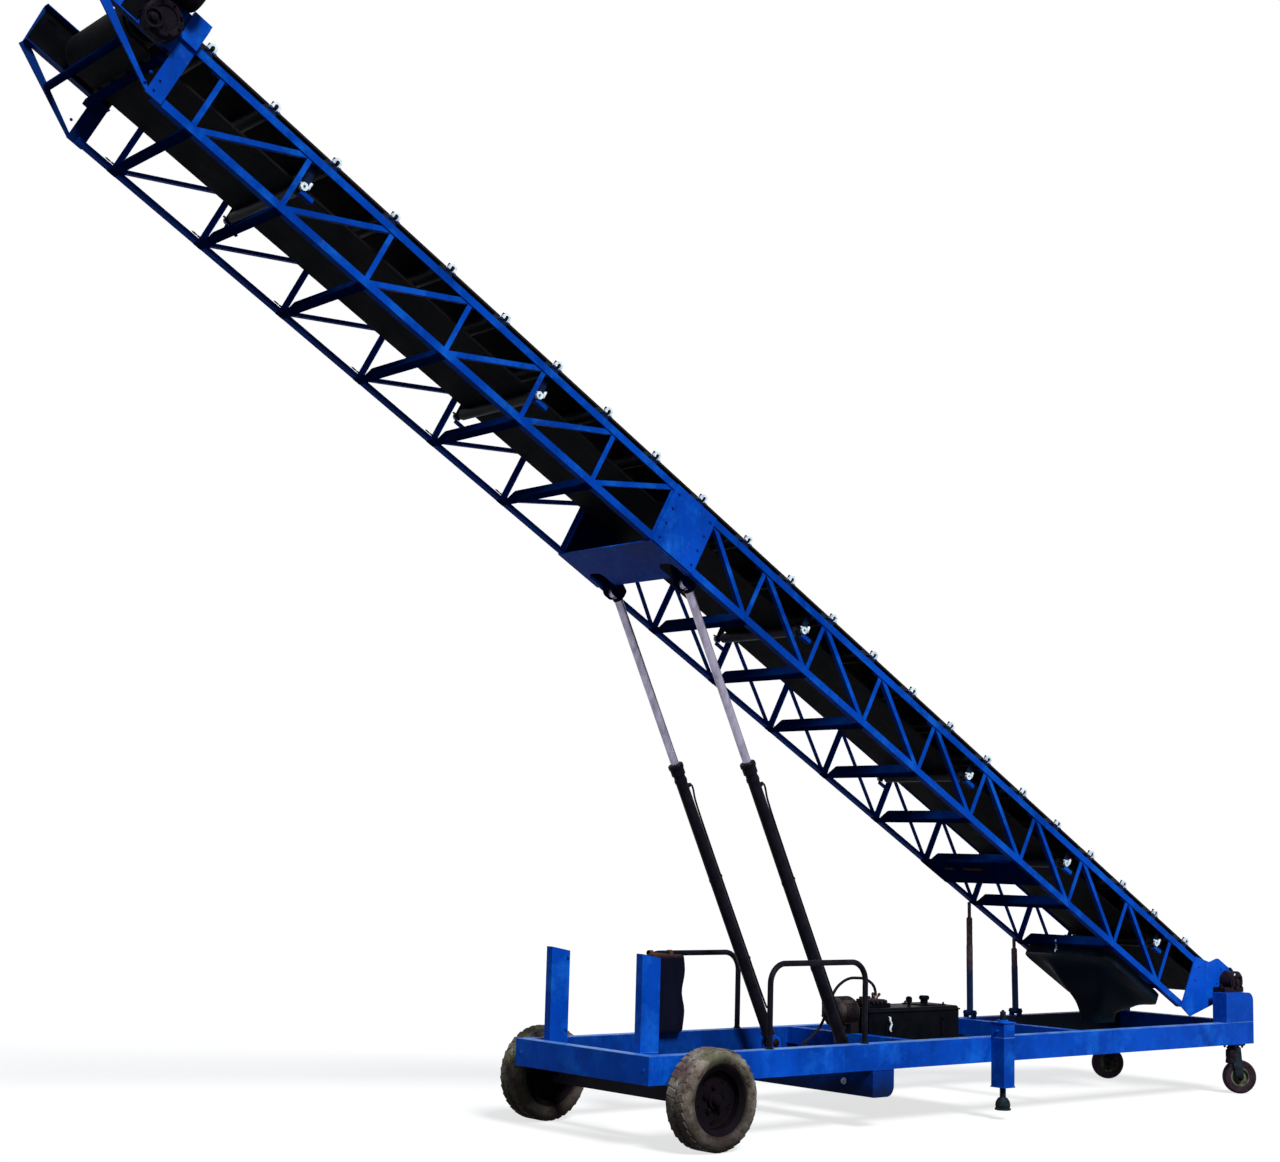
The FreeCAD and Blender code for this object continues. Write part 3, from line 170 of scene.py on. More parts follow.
def bluePaint(name, tint=1.0, rust=0.3, highlightLine=None, darkMasks=(), shine=0.03):
    # the edge tone is the colour of a painted highlight along the top edge
    values = {"clean": (0.0015, 0.060, 0.44), "faded": (0.006, 0.110, 0.56), "dull": (0.0005, 0.034, 0.27),
              "dust": (0.06, 0.17, 0.40), "chip": (0.030, 0.018, 0.017), "primer": (0.001, 0.010, 0.05),
              "edge": (0.14, 0.32, 0.60), "rust": (0.075, 0.035, 0.022)}
    tones = {key: tuple(channel * tint for channel in tone) for key, tone in values.items()}
    paint = Finish(name)
    colour = paint.stain(tones["clean"], paint.noise(1.7, 6, 0.6), 0.40, 0.62, tones["dull"])
    colour = paint.stain(colour, paint.noise(4.5, 7, 0.65), 0.50, 0.68, tones["faded"], 0.75)
    colour = paint.stain(colour, paint.noise(6, 6, 0.7, (5, 5, 0.5)), 0.56, 0.74, tones["primer"], 0.45)
    colour = paint.stain(colour, paint.noise(14, 9, 0.75), 0.58, 0.80, tones["dust"], 0.35)
    along, aside, height = paint.axes()
    # a painted highlight: a light band along the top edge at this height, broken up by noise
    if highlightLine is not None:
        edge = paint.band(height, highlightLine - 0.004, highlightLine - 0.001)
        edge = edge * paint.band(height, highlightLine + 0.004, highlightLine + 0.001)
        edge = edge * paint.band(paint.noise(7, 5), 0.30, 0.55)
        colour = paint.blend(edge * 0.50, colour, values["edge"])
    reaches = {"along": along, "aside": aside, "height": height, "inside": abs(aside)}
    # each mask lays a darker tone over part of the paint: painted shade on the rails' inner faces, on the far rail
    # under the boom and on the lift beam's lower part, and a darker inside on the head cheeks
    for limits, mask, darkTone in darkMasks:
        for axis, clear, darkAt in limits:
            ragged = (paint.noise(11, 6, 0.7) - 0.5) * abs(darkAt - clear) * 1.5
            mask = paint.band(reaches[axis] + ragged, clear, darkAt) * mask
        colour = paint.blend(mask, colour, darkTone)
    chips = paint.band(paint.noise(38, 6, 0.8), 0.70, 0.74) * paint.band(paint.noise(3.1, 3), 0.52, 0.60)
    colour = paint.blend(chips * (0.6 + rust * 0.4), colour, tones["chip"])
    colour = paint.stain(colour, paint.noise(2.7, 8, 0.7, (1.5, 1.5, 0.7)), 0.64, 0.76, values["rust"], rust)
    rough = paint.noise(22, 4) * 0.25 + chips * 0.3 + 0.30
    skin = paint.noise(240, 2) * 0.3 + paint.noise(20, 5, 0.7) - chips * 0.6
    return paint.shader(colour, rough, skin, 0.30, 0.0015, shine)


def roughMetal(name, colour, worn, rough=0.45, metallic=0.0, scale=14, contrast=0.5, grain=0.3, shine=0.018,
               darkAt=None):
    # both colours come in thousandths
    colour, worn = (tuple(channel / 1000 for channel in tone) for tone in (colour, worn))
    metal = Finish(name)
    mottle = metal.noise(scale, 7, 0.65)
    fine = metal.noise(scale * 7, 4, 0.7)
    tone = metal.stain(colour, mottle, 0.5 - contrast * 0.18, 0.5 + contrast * 0.22, worn)
    tone = metal.stain(tone, fine, 0.60, 0.75, tuple(channel * 0.4 for channel in colour), contrast)
    # darker below the two given heights
    if darkAt:
        height = metal.axes()[2] + (mottle - 0.5) * 0.08
        tone = metal.stain(tone, height, darkAt[0], darkAt[1], (0.007, 0.005, 0.006), 0.9)
    rough = metal.noise(scale * 2, 3) * 0.25 + (rough - 0.12)
    return metal.shader(tone, rough, fine + mottle, grain, shine=shine, metallic=metallic)


def beltRubber():
    values = {"clean": (0.0022, 0.0026, 0.0040), "dusty": (0.0070, 0.0078, 0.0105),
              "edge": (0.016, 0.016, 0.020)}
    rubber = Finish("beltRubber")
    streaks = rubber.noise(5, 6, 0.65, (0.6, 9, 0.6))
    colour = rubber.stain(values["clean"], streaks, 0.48, 0.72, values["dusty"])
    colour = rubber.stain(colour, abs(rubber.axes()[1]), 0.285, 0.299, values["edge"], 0.7)
    grain = rubber.noise(130, 4) + streaks
    return rubber.shader(colour, rubber.noise(12, 4) * 0.2 + 0.55, grain, 0.35, shine=0.02)


def tyreRubber(name, middle, radius, rim):
    values = {"mud": (0.120, 0.098, 0.076), "pale": (0.250, 0.225, 0.200), "rubber": (0.016, 0.012, 0.012),
              "moss": (0.070, 0.078, 0.040), "wine": (0.060, 0.024, 0.034), "darkLow": (0.024, 0.018, 0.017)}
    rubber = Finish(name)
    along, across, height = rubber.axes(middle)
    reach = (along * along + height * height) ** 0.5
    depth = radius - rim
    lumps = rubber.noise(9, 8, 0.7)
    uneven = lumps - 0.5
    colour = rubber.stain(values["mud"], lumps, 0.42, 0.64, values["pale"])
    colour = rubber.stain(colour, rubber.noise(5, 5), 0.50, 0.62, values["moss"], 0.85)
    colour = rubber.stain(colour, rubber.noise(6.5, 6), 0.52, 0.64, values["wine"], 0.75)
    flaked = rubber.band(rubber.noise(26, 7, 0.75), 0.54, 0.62)
    wall = rubber.band(reach + uneven * 0.03, rim + depth * 0.62, rim + depth * 0.38)
    colour = rubber.blend(wall * flaked * 0.85, colour, values["rubber"])
    colour = rubber.blend(wall * 0.40, colour, values["rubber"])
    # painted shade: a dark ring on the rubber next to the rim
    colour = rubber.stain(colour, reach + uneven * 0.02, rim + 0.016, rim + 0.004, values["rubber"], 0.9)
    # the tyre turns darker towards the bottom
    colour = rubber.stain(colour, height + uneven * 0.16, 0.07, -0.23, values["darkLow"], 0.88)
    crust = lumps + flaked * 0.35 + rubber.noise(70, 5, 0.7) * 0.4
    return rubber.shader(colour, 0.9, crust, 0.8, 0.006, 0.06)


def castorRubber(name, middle, radius):
    rubber = Finish(name)
    along, across, height = rubber.axes(middle)
    reach = (along * along + across * across + height * height) ** 0.5
    wear = rubber.noise(30, 6, 0.7)
    colour = rubber.stain((0.012, 0.0055, 0.011), wear, 0.40, 0.62, (0.032, 0.017, 0.028))
    tread = reach + (wear - 0.5) * 0.02
    colour = rubber.stain(colour, tread, radius - 0.004, radius + 0.002, (0.012, 0.009, 0.012), 0.7)
    return rubber.shader(colour, 0.7, wear, 0.5, shine=0.08)


def platedRod():
    plate = Finish("platedRod")
    smear = plate.noise(7, 6, 0.7, (4, 4, 0.4))
    colour = plate.stain((0.37, 0.345, 0.46), smear, 0.40, 0.66, (0.20, 0.18, 0.26))
    rough = plate.band(smear, 0.3, 0.8) * 0.25 + 0.18
    return plate.shader(colour, rough, plate.noise(90, 3), 0.05, metallic=0.75)


def idlerFinish(name, edge):
    # painted shade: the rolls are near black, as in the boom's shade; their ends past edge turn a dark blue
    metal = Finish(name)
    dirt = metal.noise(24, 5, 0.7)
    dark = metal.stain((0.0025, 0.0035, 0.007), dirt, 0.4, 0.65, (0.010, 0.013, 0.022))
    darkEnds = metal.stain((0.001, 0.004, 0.022), dirt, 0.4, 0.7, (0.002, 0.012, 0.050))
    colour = metal.stain(dark, abs(metal.axes()[1]), edge, edge + 0.002, darkEnds)
    return metal.shader(colour, dirt * 0.2 + 0.40, dirt, 0.2, shine=0.08)


def propPaint():
    values = {"foot": 0.78, "rod": 0.90}
    paint = Finish("propPaint")
    flakes = paint.noise(26, 7, 0.75)
    rusted = paint.stain((0.20, 0.13, 0.15), flakes, 0.42, 0.60, (0.07, 0.035, 0.045))
    sleeve = paint.stain((0.003, 0.016, 0.070), flakes, 0.42, 0.64, (0.010, 0.030, 0.095))
    height = paint.axes()[2] + (flakes - 0.5) * 0.03
    colour = paint.stain(sleeve, height, values["foot"], values["rod"], rusted)
    return paint.shader(colour, flakes * 0.3 + 0.4, flakes, 0.4, shine=0.12)


def coverSheet():
    sheet = Finish("starterCover")
    folds = sheet.noise(6, 6, 0.6, (1, 1, 0.35))
    colour = sheet.stain((0.0018, 0.0024, 0.0072), folds, 0.40, 0.68, (0.0046, 0.0056, 0.0160))
    height = sheet.axes()[2] + (folds - 0.5) * 0.05
    colour = sheet.stain(colour, height, 0.925, 0.96, (0.085, 0.040, 0.028), 0.55)
    return sheet.shader(colour, 0.62, folds + sheet.noise(260, 2) * 0.2, 0.5, 0.004, 0.02)


print("materials")
# painted shade: the rails' inner faces are darkened with the first tone, and the far rail's inside past 2.45 m
# with the second, a painted shadow of the boom
railShadeTone = (0.0015, 0.014, 0.095)
boomShadowTone = (0.0016, 0.0045, 0.0110)
blue = bluePaint("boomPaint", 1.0, 0.18, shine=0.010)
frameBlue = bluePaint("framePaint", 1.0, 0.22, 0.49)
nearRailBlue = bluePaint("nearRailPaint", 1.1, 0.20, 0.49, [([("aside", -0.5035, -0.4985)], 0.7, railShadeTone)])
farRailBlue = bluePaint("farRailPaint", 1.0, 0.20, 0.49, [
    ([("aside", 0.5035, 0.4985)], 0.72, railShadeTone),
    ([("aside", 0.545, 0.525), ("along", 2.45, 3.05)], 0.93, boomShadowTone)])
plateBlue = bluePaint("platePaint", 1.15, 0.12)
# the cheeks' inner faces painted darker
cheekInsideDark = [([("inside", 0.4135, 0.4105)], 0.80, (0.0010, 0.0080, 0.042))]
cheekBlue = bluePaint("cheekPaint", 1.05, 0.12, darkMasks=cheekInsideDark)
postBlue = bluePaint("postPaint", 1.0, 0.30, 1.01)
# painted shade: the lift beam is a darker copy of the blue, and darker again below 0.345 m, under the rails
liftShade = [([("height", 0.345, 0.215)], 0.92, (0.0025, 0.008, 0.030))]
liftShadedBlue = bluePaint("liftBeamShadedPaint", 0.8, 0.40, darkMasks=liftShade)
# painted shade: the blue paint at a fifth of its brightness, for the cross ties, prop feet, scraper bar and belly
# plate
shadedBlue = bluePaint("shadedInnerPaint", 0.20, 0.25, shine=0.0)
# painted shade: the lift yoke is the blue paint at about a tenth of its brightness
yokeShadedBlue = bluePaint("yokeShadedPaint", 0.11, 0.05, shine=0.0)
black = roughMetal("blackPaint", (4, 4, 8), (9, 8, 14), 0.40, shine=0.03)
belt = beltRubber()
rimPaint = roughMetal("rimPaint", (3.4, 3, 3.4), (8.5, 5, 9), 0.70, scale=11, contrast=0.9, shine=0.012)
whiteZinc = roughMetal("whiteZinc", (740, 840, 880), (420, 520, 600), 0.45, scale=40, contrast=0.4, shine=0.3)
steel = roughMetal("bareSteel", (300, 300, 330), (130, 120, 130), 0.40, 0.7, scale=30, shine=0.3)
castorSteel = roughMetal("castorSteel", (18, 28, 36), (6, 9, 13), 0.50, scale=22)
hubSteel = roughMetal("hubSteel", (110, 130, 85), (32, 30, 22), 0.50, scale=26)
casting = roughMetal("greasyCasting", (6, 4.5, 7), (24, 14, 22), 0.42, scale=26, contrast=0.8)
drive = roughMetal("driveHousing", (3.2, 2.8, 5.2), (12, 9, 15), 0.45, scale=20, contrast=0.9)
motor = roughMetal("motorHousing", (15, 11, 15), (62, 50, 48), 0.62, scale=15, contrast=1, darkAt=(0.645, 0.59))
tankPaint = roughMetal("tankPaint", (1.8, 2.4, 4), (4.5, 4.8, 7), 0.42, scale=9, contrast=0.7, shine=0.010)
linerSheet = roughMetal("linerSheet", (1.8, 2, 3.2), (4, 4.2, 5.8), 0.60, scale=7, shine=0.008)
panSheet = roughMetal("panSheet", (2, 4.2, 8.5), (5, 12.5, 23), 0.50, scale=8, contrast=0.8)
rusty = roughMetal("rustySteel", (110, 45, 26), (40, 17, 14), 0.80, scale=34, contrast=0.9, grain=0.6)
hose = roughMetal("hoseRubber", (5.5, 5.5, 9), (13, 12, 18), 0.50, scale=30)
cover = coverSheet()
prop = propPaint()

finishes = {
    "tyre": rimPaint, "rim_dark": rimPaint, "belt_rubber": belt, "drum_rubber": belt, "hose_rubber": hose,
    "black_cover": cover, "chrome_rod": platedRod(), "black_paint": black, "motor_dark": drive,
    "motor_brown": motor, "tank_dark": tankPaint, "grey_steel": castorSteel, "cast_black": casting,
    "roller_steel": idlerFinish("idlerShadedSteel", 0.375), "pan_dark": panSheet, "prop_paint": prop,
    "blue_paint": blue,
}
named = {
    "return_idlers": idlerFinish("returnIdlerShadedSteel", 0.350), "jack_screw": castorSteel,
    "splice_plates": plateBlue, "tail_plates": plateBlue, "head_cheeks": cheekBlue, "lift_beam": liftShadedBlue,
    "lift_yoke": yokeShadedBlue, "cross_ties": shadedBlue, "prop_feet": shadedBlue, "jack_sleeve": frameBlue,
    "front_beam": frameBlue, "tail_beam": frameBlue, "side_rail_near": nearRailBlue,
    "side_rail_far": farRailBlue,
}
for name, side in bothSides:
    spot = joints[f"castor_spin_{name}"]["pos_m"]
    named[f"castor_tyre_{name}"] = castorRubber(f"castorRubber{name.title()}", spot, 0.103)
    named[f"castor_hub_{name}"] = hubSteel
    named[f"tail_stool_{name}"] = frameBlue
    named[f"rest_post_{name}"] = postBlue
slotOf = {item["node"]: item["material_slot"] for item in frame["record"]["subparts"]}
for name, part in nodes.items():
    part.data.materials.clear()
    part.data.materials.append(named.get(name, finishes[slotOf[name]]))

# studio: white surroundings for what is seen, gentle light for what is lit
world = bpy.data.worlds.new("studio")
bpy.context.scene.world = world
studio = Finish("studio", world)
sky = studio.add("ShaderNodeBackground", Color=(0.78, 0.87, 1.0), Strength=0.25)
white = studio.add("ShaderNodeBackground", Color=(1.0, 1.0, 1.0), Strength=1.0)
surroundings = studio.add("ShaderNodeMixShader", i0=studio.seenDirectly(), i1=sky, i2=white)
studio.add("ShaderNodeOutputWorld", Surface=surroundings)

floorMesh = bpy.data.meshes.new("floor")
sheet = bmesh.new()
bmesh.ops.create_grid(sheet, x_segments=1, y_segments=1, size=60)
sheet.to_mesh(floorMesh)
sheet.free()
floor = bpy.data.objects.new("floor", floorMesh)
bpy.context.collection.objects.link(floor)
ground = Finish("floor")
dull = ground.add("ShaderNodeBsdfDiffuse", Color=(0.08, 0.08, 0.09))
paper = ground.add("ShaderNodeBsdfDiffuse", Color=(0.95, 0.95, 0.95))
glow = ground.add("ShaderNodeEmission", Color=(1.0, 1.0, 1.0), Strength=1.0)
pale = ground.add("ShaderNodeMixShader", i0=0.72, i1=paper, i2=glow)
surface = ground.add("ShaderNodeMixShader", i0=ground.seenDirectly(), i1=dull, i2=pale)
ground.add("ShaderNodeOutputMaterial", Surface=surface)
floorMesh.materials.append(ground.owner)

key = bpy.data.lights.new("key", "SUN")
key.energy = 4.3
key.angle = math.radians(18)
holder = bpy.data.objects.new("key", key)
bpy.context.collection.objects.link(holder)
holder.rotation_euler = Vector((2.0, 8.0, -8.2)).to_track_quat("-Z", "Y").to_euler()
bpy.context.scene.view_settings.view_transform = "Standard"


# shapes are gathered in a bmesh and finished as one piece
def finishPiece(name, shape, material, body, replaced=(), sharp=34):
    bmesh.ops.recalc_face_normals(shape, faces=shape.faces)
    mesh = bpy.data.meshes.new(name)
    shape.to_mesh(mesh)
    shape.free()
    mesh.shade_smooth()
    mesh.set_sharp_from_angle(angle=math.radians(sharp))
    mesh.materials.append(material)
    piece = bpy.data.objects.new(name, mesh)
    bpy.context.collection.objects.link(piece)
    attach(piece, body)
    if replaced:
        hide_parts(*replaced)


def at(x, y, z):
    return Matrix.Translation((x, y, z))


def spun(angle, axis="Z"):
    return Matrix.Rotation(angle, 4, axis)


def facing(place, outward, spin=0.0):
    # a place whose local z points outward
    return at(*place) @ Vector(outward).to_track_quat("Z", "Y").to_matrix().to_4x4() @ spun(spin)


def mm(*profile):
    # a profile's points, given in millimetres
    return [(radius / 1000, height / 1000) for radius, height in profile]


def addBlock(shape, where, size, edge=0.0, segments=2):
    made = bmesh.ops.create_cube(shape, size=1, matrix=where @ Matrix.Diagonal((*size, 1)))["verts"]
    if edge:
        edges = list(dict.fromkeys(line for corner in made for line in corner.link_edges))
        bmesh.ops.bevel(shape, geom=edges, offset=edge, segments=segments, profile=0.5, affect="EDGES",
                        material=-1, clamp_overlap=True)


def addTurned(shape, where, profile, steps=32, closed=False):
    # a profile of (radius, height) spun about the place's local z
    spots = [shape.verts.new(where @ Vector((radius, 0, height))) for radius, height in profile]
    pairs = zip(spots, spots[1:] + spots[:1] if closed else spots[1:])
    lines = [shape.edges.new(pair) for pair in pairs]
    bmesh.ops.spin(shape, geom=spots + lines, cent=where.translation, axis=where.to_3x3() @ Vector((0, 0, 1)),
                   dvec=(0, 0, 0), angle=math.tau, steps=steps, use_merge=True, use_duplicate=False)
    found = dict.fromkeys(spots)  # in the order they are met, so that each run gives the same mesh
    grown = list(spots)
    while grown:
        spot = grown.pop()
        for line in spot.link_edges:
            other = line.other_vert(spot)
            if other not in found:
                found[other] = True
                grown.append(other)
    bmesh.ops.remove_doubles(shape, verts=list(found), dist=1e-5)


def addRing(shape, where, inner, outer, low, high, steps=32):
    addTurned(shape, where, [(inner, low), (outer, low), (outer, high), (inner, high)], steps, closed=True)


def addArch(shape, where, outline, axis, angle, steps):
    # an outline swept part of the way round the place
    ring = [shape.verts.new(where @ Vector(corner)) for corner in outline]
    face = shape.faces.new(ring)
    bmesh.ops.spin(shape, geom=[face, *face.edges, *ring], cent=where.translation, axis=axis, dvec=(0, 0, 0),
                   angle=angle, steps=steps, use_merge=False, use_duplicate=False)


def addRod(shape, start, stop, radius, sides=20, edge=0.0):
    start, stop = Vector(start), Vector(stop)
    reach = (stop - start).length
    chamfer = min(edge, reach / 3, radius / 2)
    inner = radius - chamfer
    profile = [(radius, 0), (radius, reach)]
    if chamfer:
        profile = [(inner, 0), (radius, chamfer), (radius, reach - chamfer), (inner, reach)]
    addTurned(shape, facing(start, stop - start), [(0, 0), *profile, (0, reach)], sides)


def addBolt(shape, place, outward, across=0.018, height=0.011, spin=0.0):
    where = facing(place, outward, spin)
    washer, flat, stud = across * 0.68, across * 0.577, across * 0.30
    addTurned(shape, where, [(0, 0), (washer, 0), (washer, 0.0022), (0, 0.0022)], 14)
    bmesh.ops.create_cone(shape, cap_ends=True, segments=6, radius1=flat, radius2=flat, depth=height,
                          matrix=where @ at(0, 0, 0.002 + height / 2))
    top = height + 0.007
    point = [(0, height), (stud, height), (stud, top - 0.002), (across * 0.22, top), (0, top)]
    addTurned(shape, where, point, 10)


def addBoltRing(shape, where, outward, angles, reach, level, across, height, twist=None):
    # bolts round a place, each turned with its angle or by a twist of its own
    for step, angle in enumerate(angles):
        spot = where @ spun(angle) @ Vector((reach, 0, level))
        addBolt(shape, spot, outward, across, height, angle if twist is None else step * twist)


def addPipe(shape, points, radius, sides=6):
    # a bent pipe that follows a smooth line through its points
    line = bpy.data.curves.new("pipe", "CURVE")
    line.dimensions = "3D"
    run = line.splines.new("NURBS")
    run.points.add(len(points) - 1)
    for spot, point in zip(run.points, points):
        spot.co = (*point, 1)
    run.order_u = 3
    run.use_endpoint_u = True
    run.resolution_u = 10
    line.bevel_depth = radius
    line.bevel_resolution = sides // 2
    line.use_fill_caps = True
    holder = bpy.data.objects.new("pipe", line)
    mesh = bpy.data.meshes.new_from_object(holder)
    shape.from_mesh(mesh)
    bpy.data.objects.remove(holder)
    bpy.data.curves.remove(line)
    bpy.data.meshes.remove(mesh)


def addBead(shape, place, along, length, radius):
    # a weld bead: a low lump stretched along the joint
    where = facing(place, along) @ Matrix.Diagonal((1, 1, length / radius, 1))
    bmesh.ops.create_icosphere(shape, subdivisions=1, radius=radius, matrix=where)


def evenly(count, start=0.0):
    return [math.tau * step / count + start for step in range(count)]


corners = [(along, across) for along in (-1, 1) for across in (-1, 1)]

# the boom's own frame: metres back from its hinge, to the side, and above the hinge's line
boom = {
    "angle": 28.31, "outer": 0.410, "low": -0.395, "high": -0.015, "leg": 0.042, "panel": 0.5604,
    "lower": (0.687, 9), "upper": (6.488, 6),
}
hinge = joints["boom_luff"]["pos_m"]
boomFrame = at(hinge[0], 0, hinge[2]) @ spun(math.radians(boom["angle"]), "Y")


def onBoom(station, aside, above):
    return boomFrame @ at(-station, aside, above)


def boomPoint(station, aside, above):
    return onBoom(station, aside, above).translation


boomBack = boomFrame.to_3x3() @ Vector((1, 0, 0))
stations = []
for start, count in (boom["lower"], boom["upper"]):
    stations += [start + boom["panel"] * step for step in range(count)]

print("wheels")
wheel = {
    "radius": 0.27, "half": 0.0925, "bead": 0.1825, "nuts": 5, "nutRing": 0.066, "slotRing": 0.116,
    "lugs": 34, "lugSize": (0.0090, 0.041, 0.06105), "lugAside": 0.38, "lugLean": 0.30, "lugSunk": 0.0078,
    "fromBead": mm((-4, -30), (6, -18), (18, -8), (34, -1.5), (46, 0), (56, -3), (62, -8), (70, -12)),
    "fromTread": mm((-11, 70.5), (-4, 52.5), (-2, 18), (-7, 14), (-7, 4), (-2, 0.5)),
    "slot": mm((12, 0), (17, 0), (15.5, 4), (12.5, 4)),
    "cap": mm((0, 60), (18, 60), (26, 56), (31, 47), (33, 30), (41, 30.5), (41, 26), (0, 26)),
    "rimBead": mm((135, 8.5), (141, 13), (148, 13), (152, 8.5)),
    "valve": ((0.158, 0, 0.012), (0.150, 0, 0.048)), "valveTurn": 1.9,
}
half, bead, radius = wheel["half"], wheel["bead"], wheel["radius"]
for name, side in bothSides:
    axle = Vector(joints[f"wheel_spin_{name}"]["pos_m"])
    out = Vector((0, side, 0))
    seat = facing(axle, out)
    shape = bmesh.new()
    wall = [(bead + reach, half + height) for reach, height in wheel["fromBead"]]
    wall += [(radius + reach, height) for reach, height in wheel["fromTread"]]
    addTurned(shape, seat, wall + [(reach, -height) for reach, height in reversed(wall)], 112, closed=True)
    for spot in shape.verts:
        # worn and caked rubber: lumps that only draw in
        offset = spot.co - axle
        reach = math.hypot(offset.x, offset.z)
        lump = abs(noise.noise(spot.co * 17) * 0.0060 + noise.noise(spot.co * 60) * 0.0026)
        lump *= min(1.0, max(0.0, (reach - bead) / 0.02))
        spot.co -= Vector((offset.x / reach, side, offset.z / reach)) * lump
    for step in range(wheel["lugs"]):
        for row, shift in ((-1, 0.0), (1, 0.5)):
            lug = seat @ spun(math.tau * (step + shift) / wheel["lugs"])
            lug = lug @ at(radius - wheel["lugSunk"], 0, row * half * wheel["lugAside"])
            addBlock(shape, lug @ spun(row * wheel["lugLean"], "X"), wheel["lugSize"], 0.003, 1)
    finishPiece(f"roadTyre_{name}", shape, tyreRubber(f"roadTyre{name.title()}", axle, radius, bead),
                f"wheel_{name}", (f"front_tyre_{name}",), 40)

    shape = bmesh.new()
    angles = evenly(wheel["nuts"], 0.3)
    addBoltRing(shape, seat, out, angles, wheel["nutRing"], 0.008, 0.024, 0.015)
    for angle in angles:
        slot = seat @ spun(angle + 0.63) @ at(wheel["slotRing"], 0, 0.0092)
        addTurned(shape, slot @ Matrix.Diagonal((0.8, 1.3, 1, 1)), wheel["slot"], 20, closed=True)
    addTurned(shape, seat, wheel["cap"], 36)
    addTurned(shape, seat, wheel["rimBead"], 64, closed=True)
    root, tip = (seat @ spun(wheel["valveTurn"]) @ Vector(spot) for spot in wheel["valve"])
    addRod(shape, root, tip, 0.0045, 10, 0.001)
    finishPiece(f"wheelFittings_{name}", shape, rimPaint, f"wheel_{name}")

print("castors")
castor = {
    "nutAt": 0.0445, "washerAt": 0.0400, "boltReach": (0.046, 0.040), "plateThick": 0.012,
    "crown": mm((41, -12), (46, -10), (47, -2), (43, 3), (40, 3)), "guardAt": (-0.050, 0.006, 0.272),
    "guard": (0.044, 0.058, 0.066), "flap": (0.026, 0.050, 0.050), "stop": (0.030, 0.030, 0.026),
}
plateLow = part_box("castor_plates")[0][2]
for name, side in bothSides:
    axle = Vector(joints[f"castor_spin_{name}"]["pos_m"])
    spin = Vector(joints[f"castor_spin_{name}"]["axis"]).normalized()
    swivel = Vector(joints[f"castor_turn_{name}"]["pos_m"])
    shape = bmesh.new()
    for way in (-1, 1):
        addBolt(shape, axle + spin * way * castor["nutAt"], spin * way, 0.027, 0.013, 0.4)
        addRing(shape, facing(axle + spin * way * castor["washerAt"], spin * way), 0.012, 0.019, 0, 0.003, 24)
    crown = facing((swivel.x, swivel.y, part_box(f"castor_fork_{name}")[1][2]), (0, 0, 1))
    addTurned(shape, crown, castor["crown"], 36, closed=True)
    ahead, aside, level = castor["guardAt"]
    guard = at(swivel.x + ahead, swivel.y + side * aside, level)
    addBlock(shape, guard, castor["guard"], 0.014, 3)
    addBlock(shape, guard @ at(-0.012, 0, -0.040) @ spun(0.25, "Y"), castor["flap"], 0.010, 3)
    addBlock(shape, guard @ at(0.026, 0, 0.014), castor["stop"], 0.006, 2)
    finishPiece(f"castorFittings_{name}", shape, casting, f"castor_swivel_{name}")
    shape = bmesh.new()
    for along, across in corners:
        spot = (swivel.x + along * castor["boltReach"][0], swivel.y + across * castor["boltReach"][1],
                plateLow + castor["plateThick"])
        addBolt(shape, spot, (0, 0, -1), 0.017, 0.010)
    finishPiece(f"castorBolts_{name}", shape, casting, "chassis")

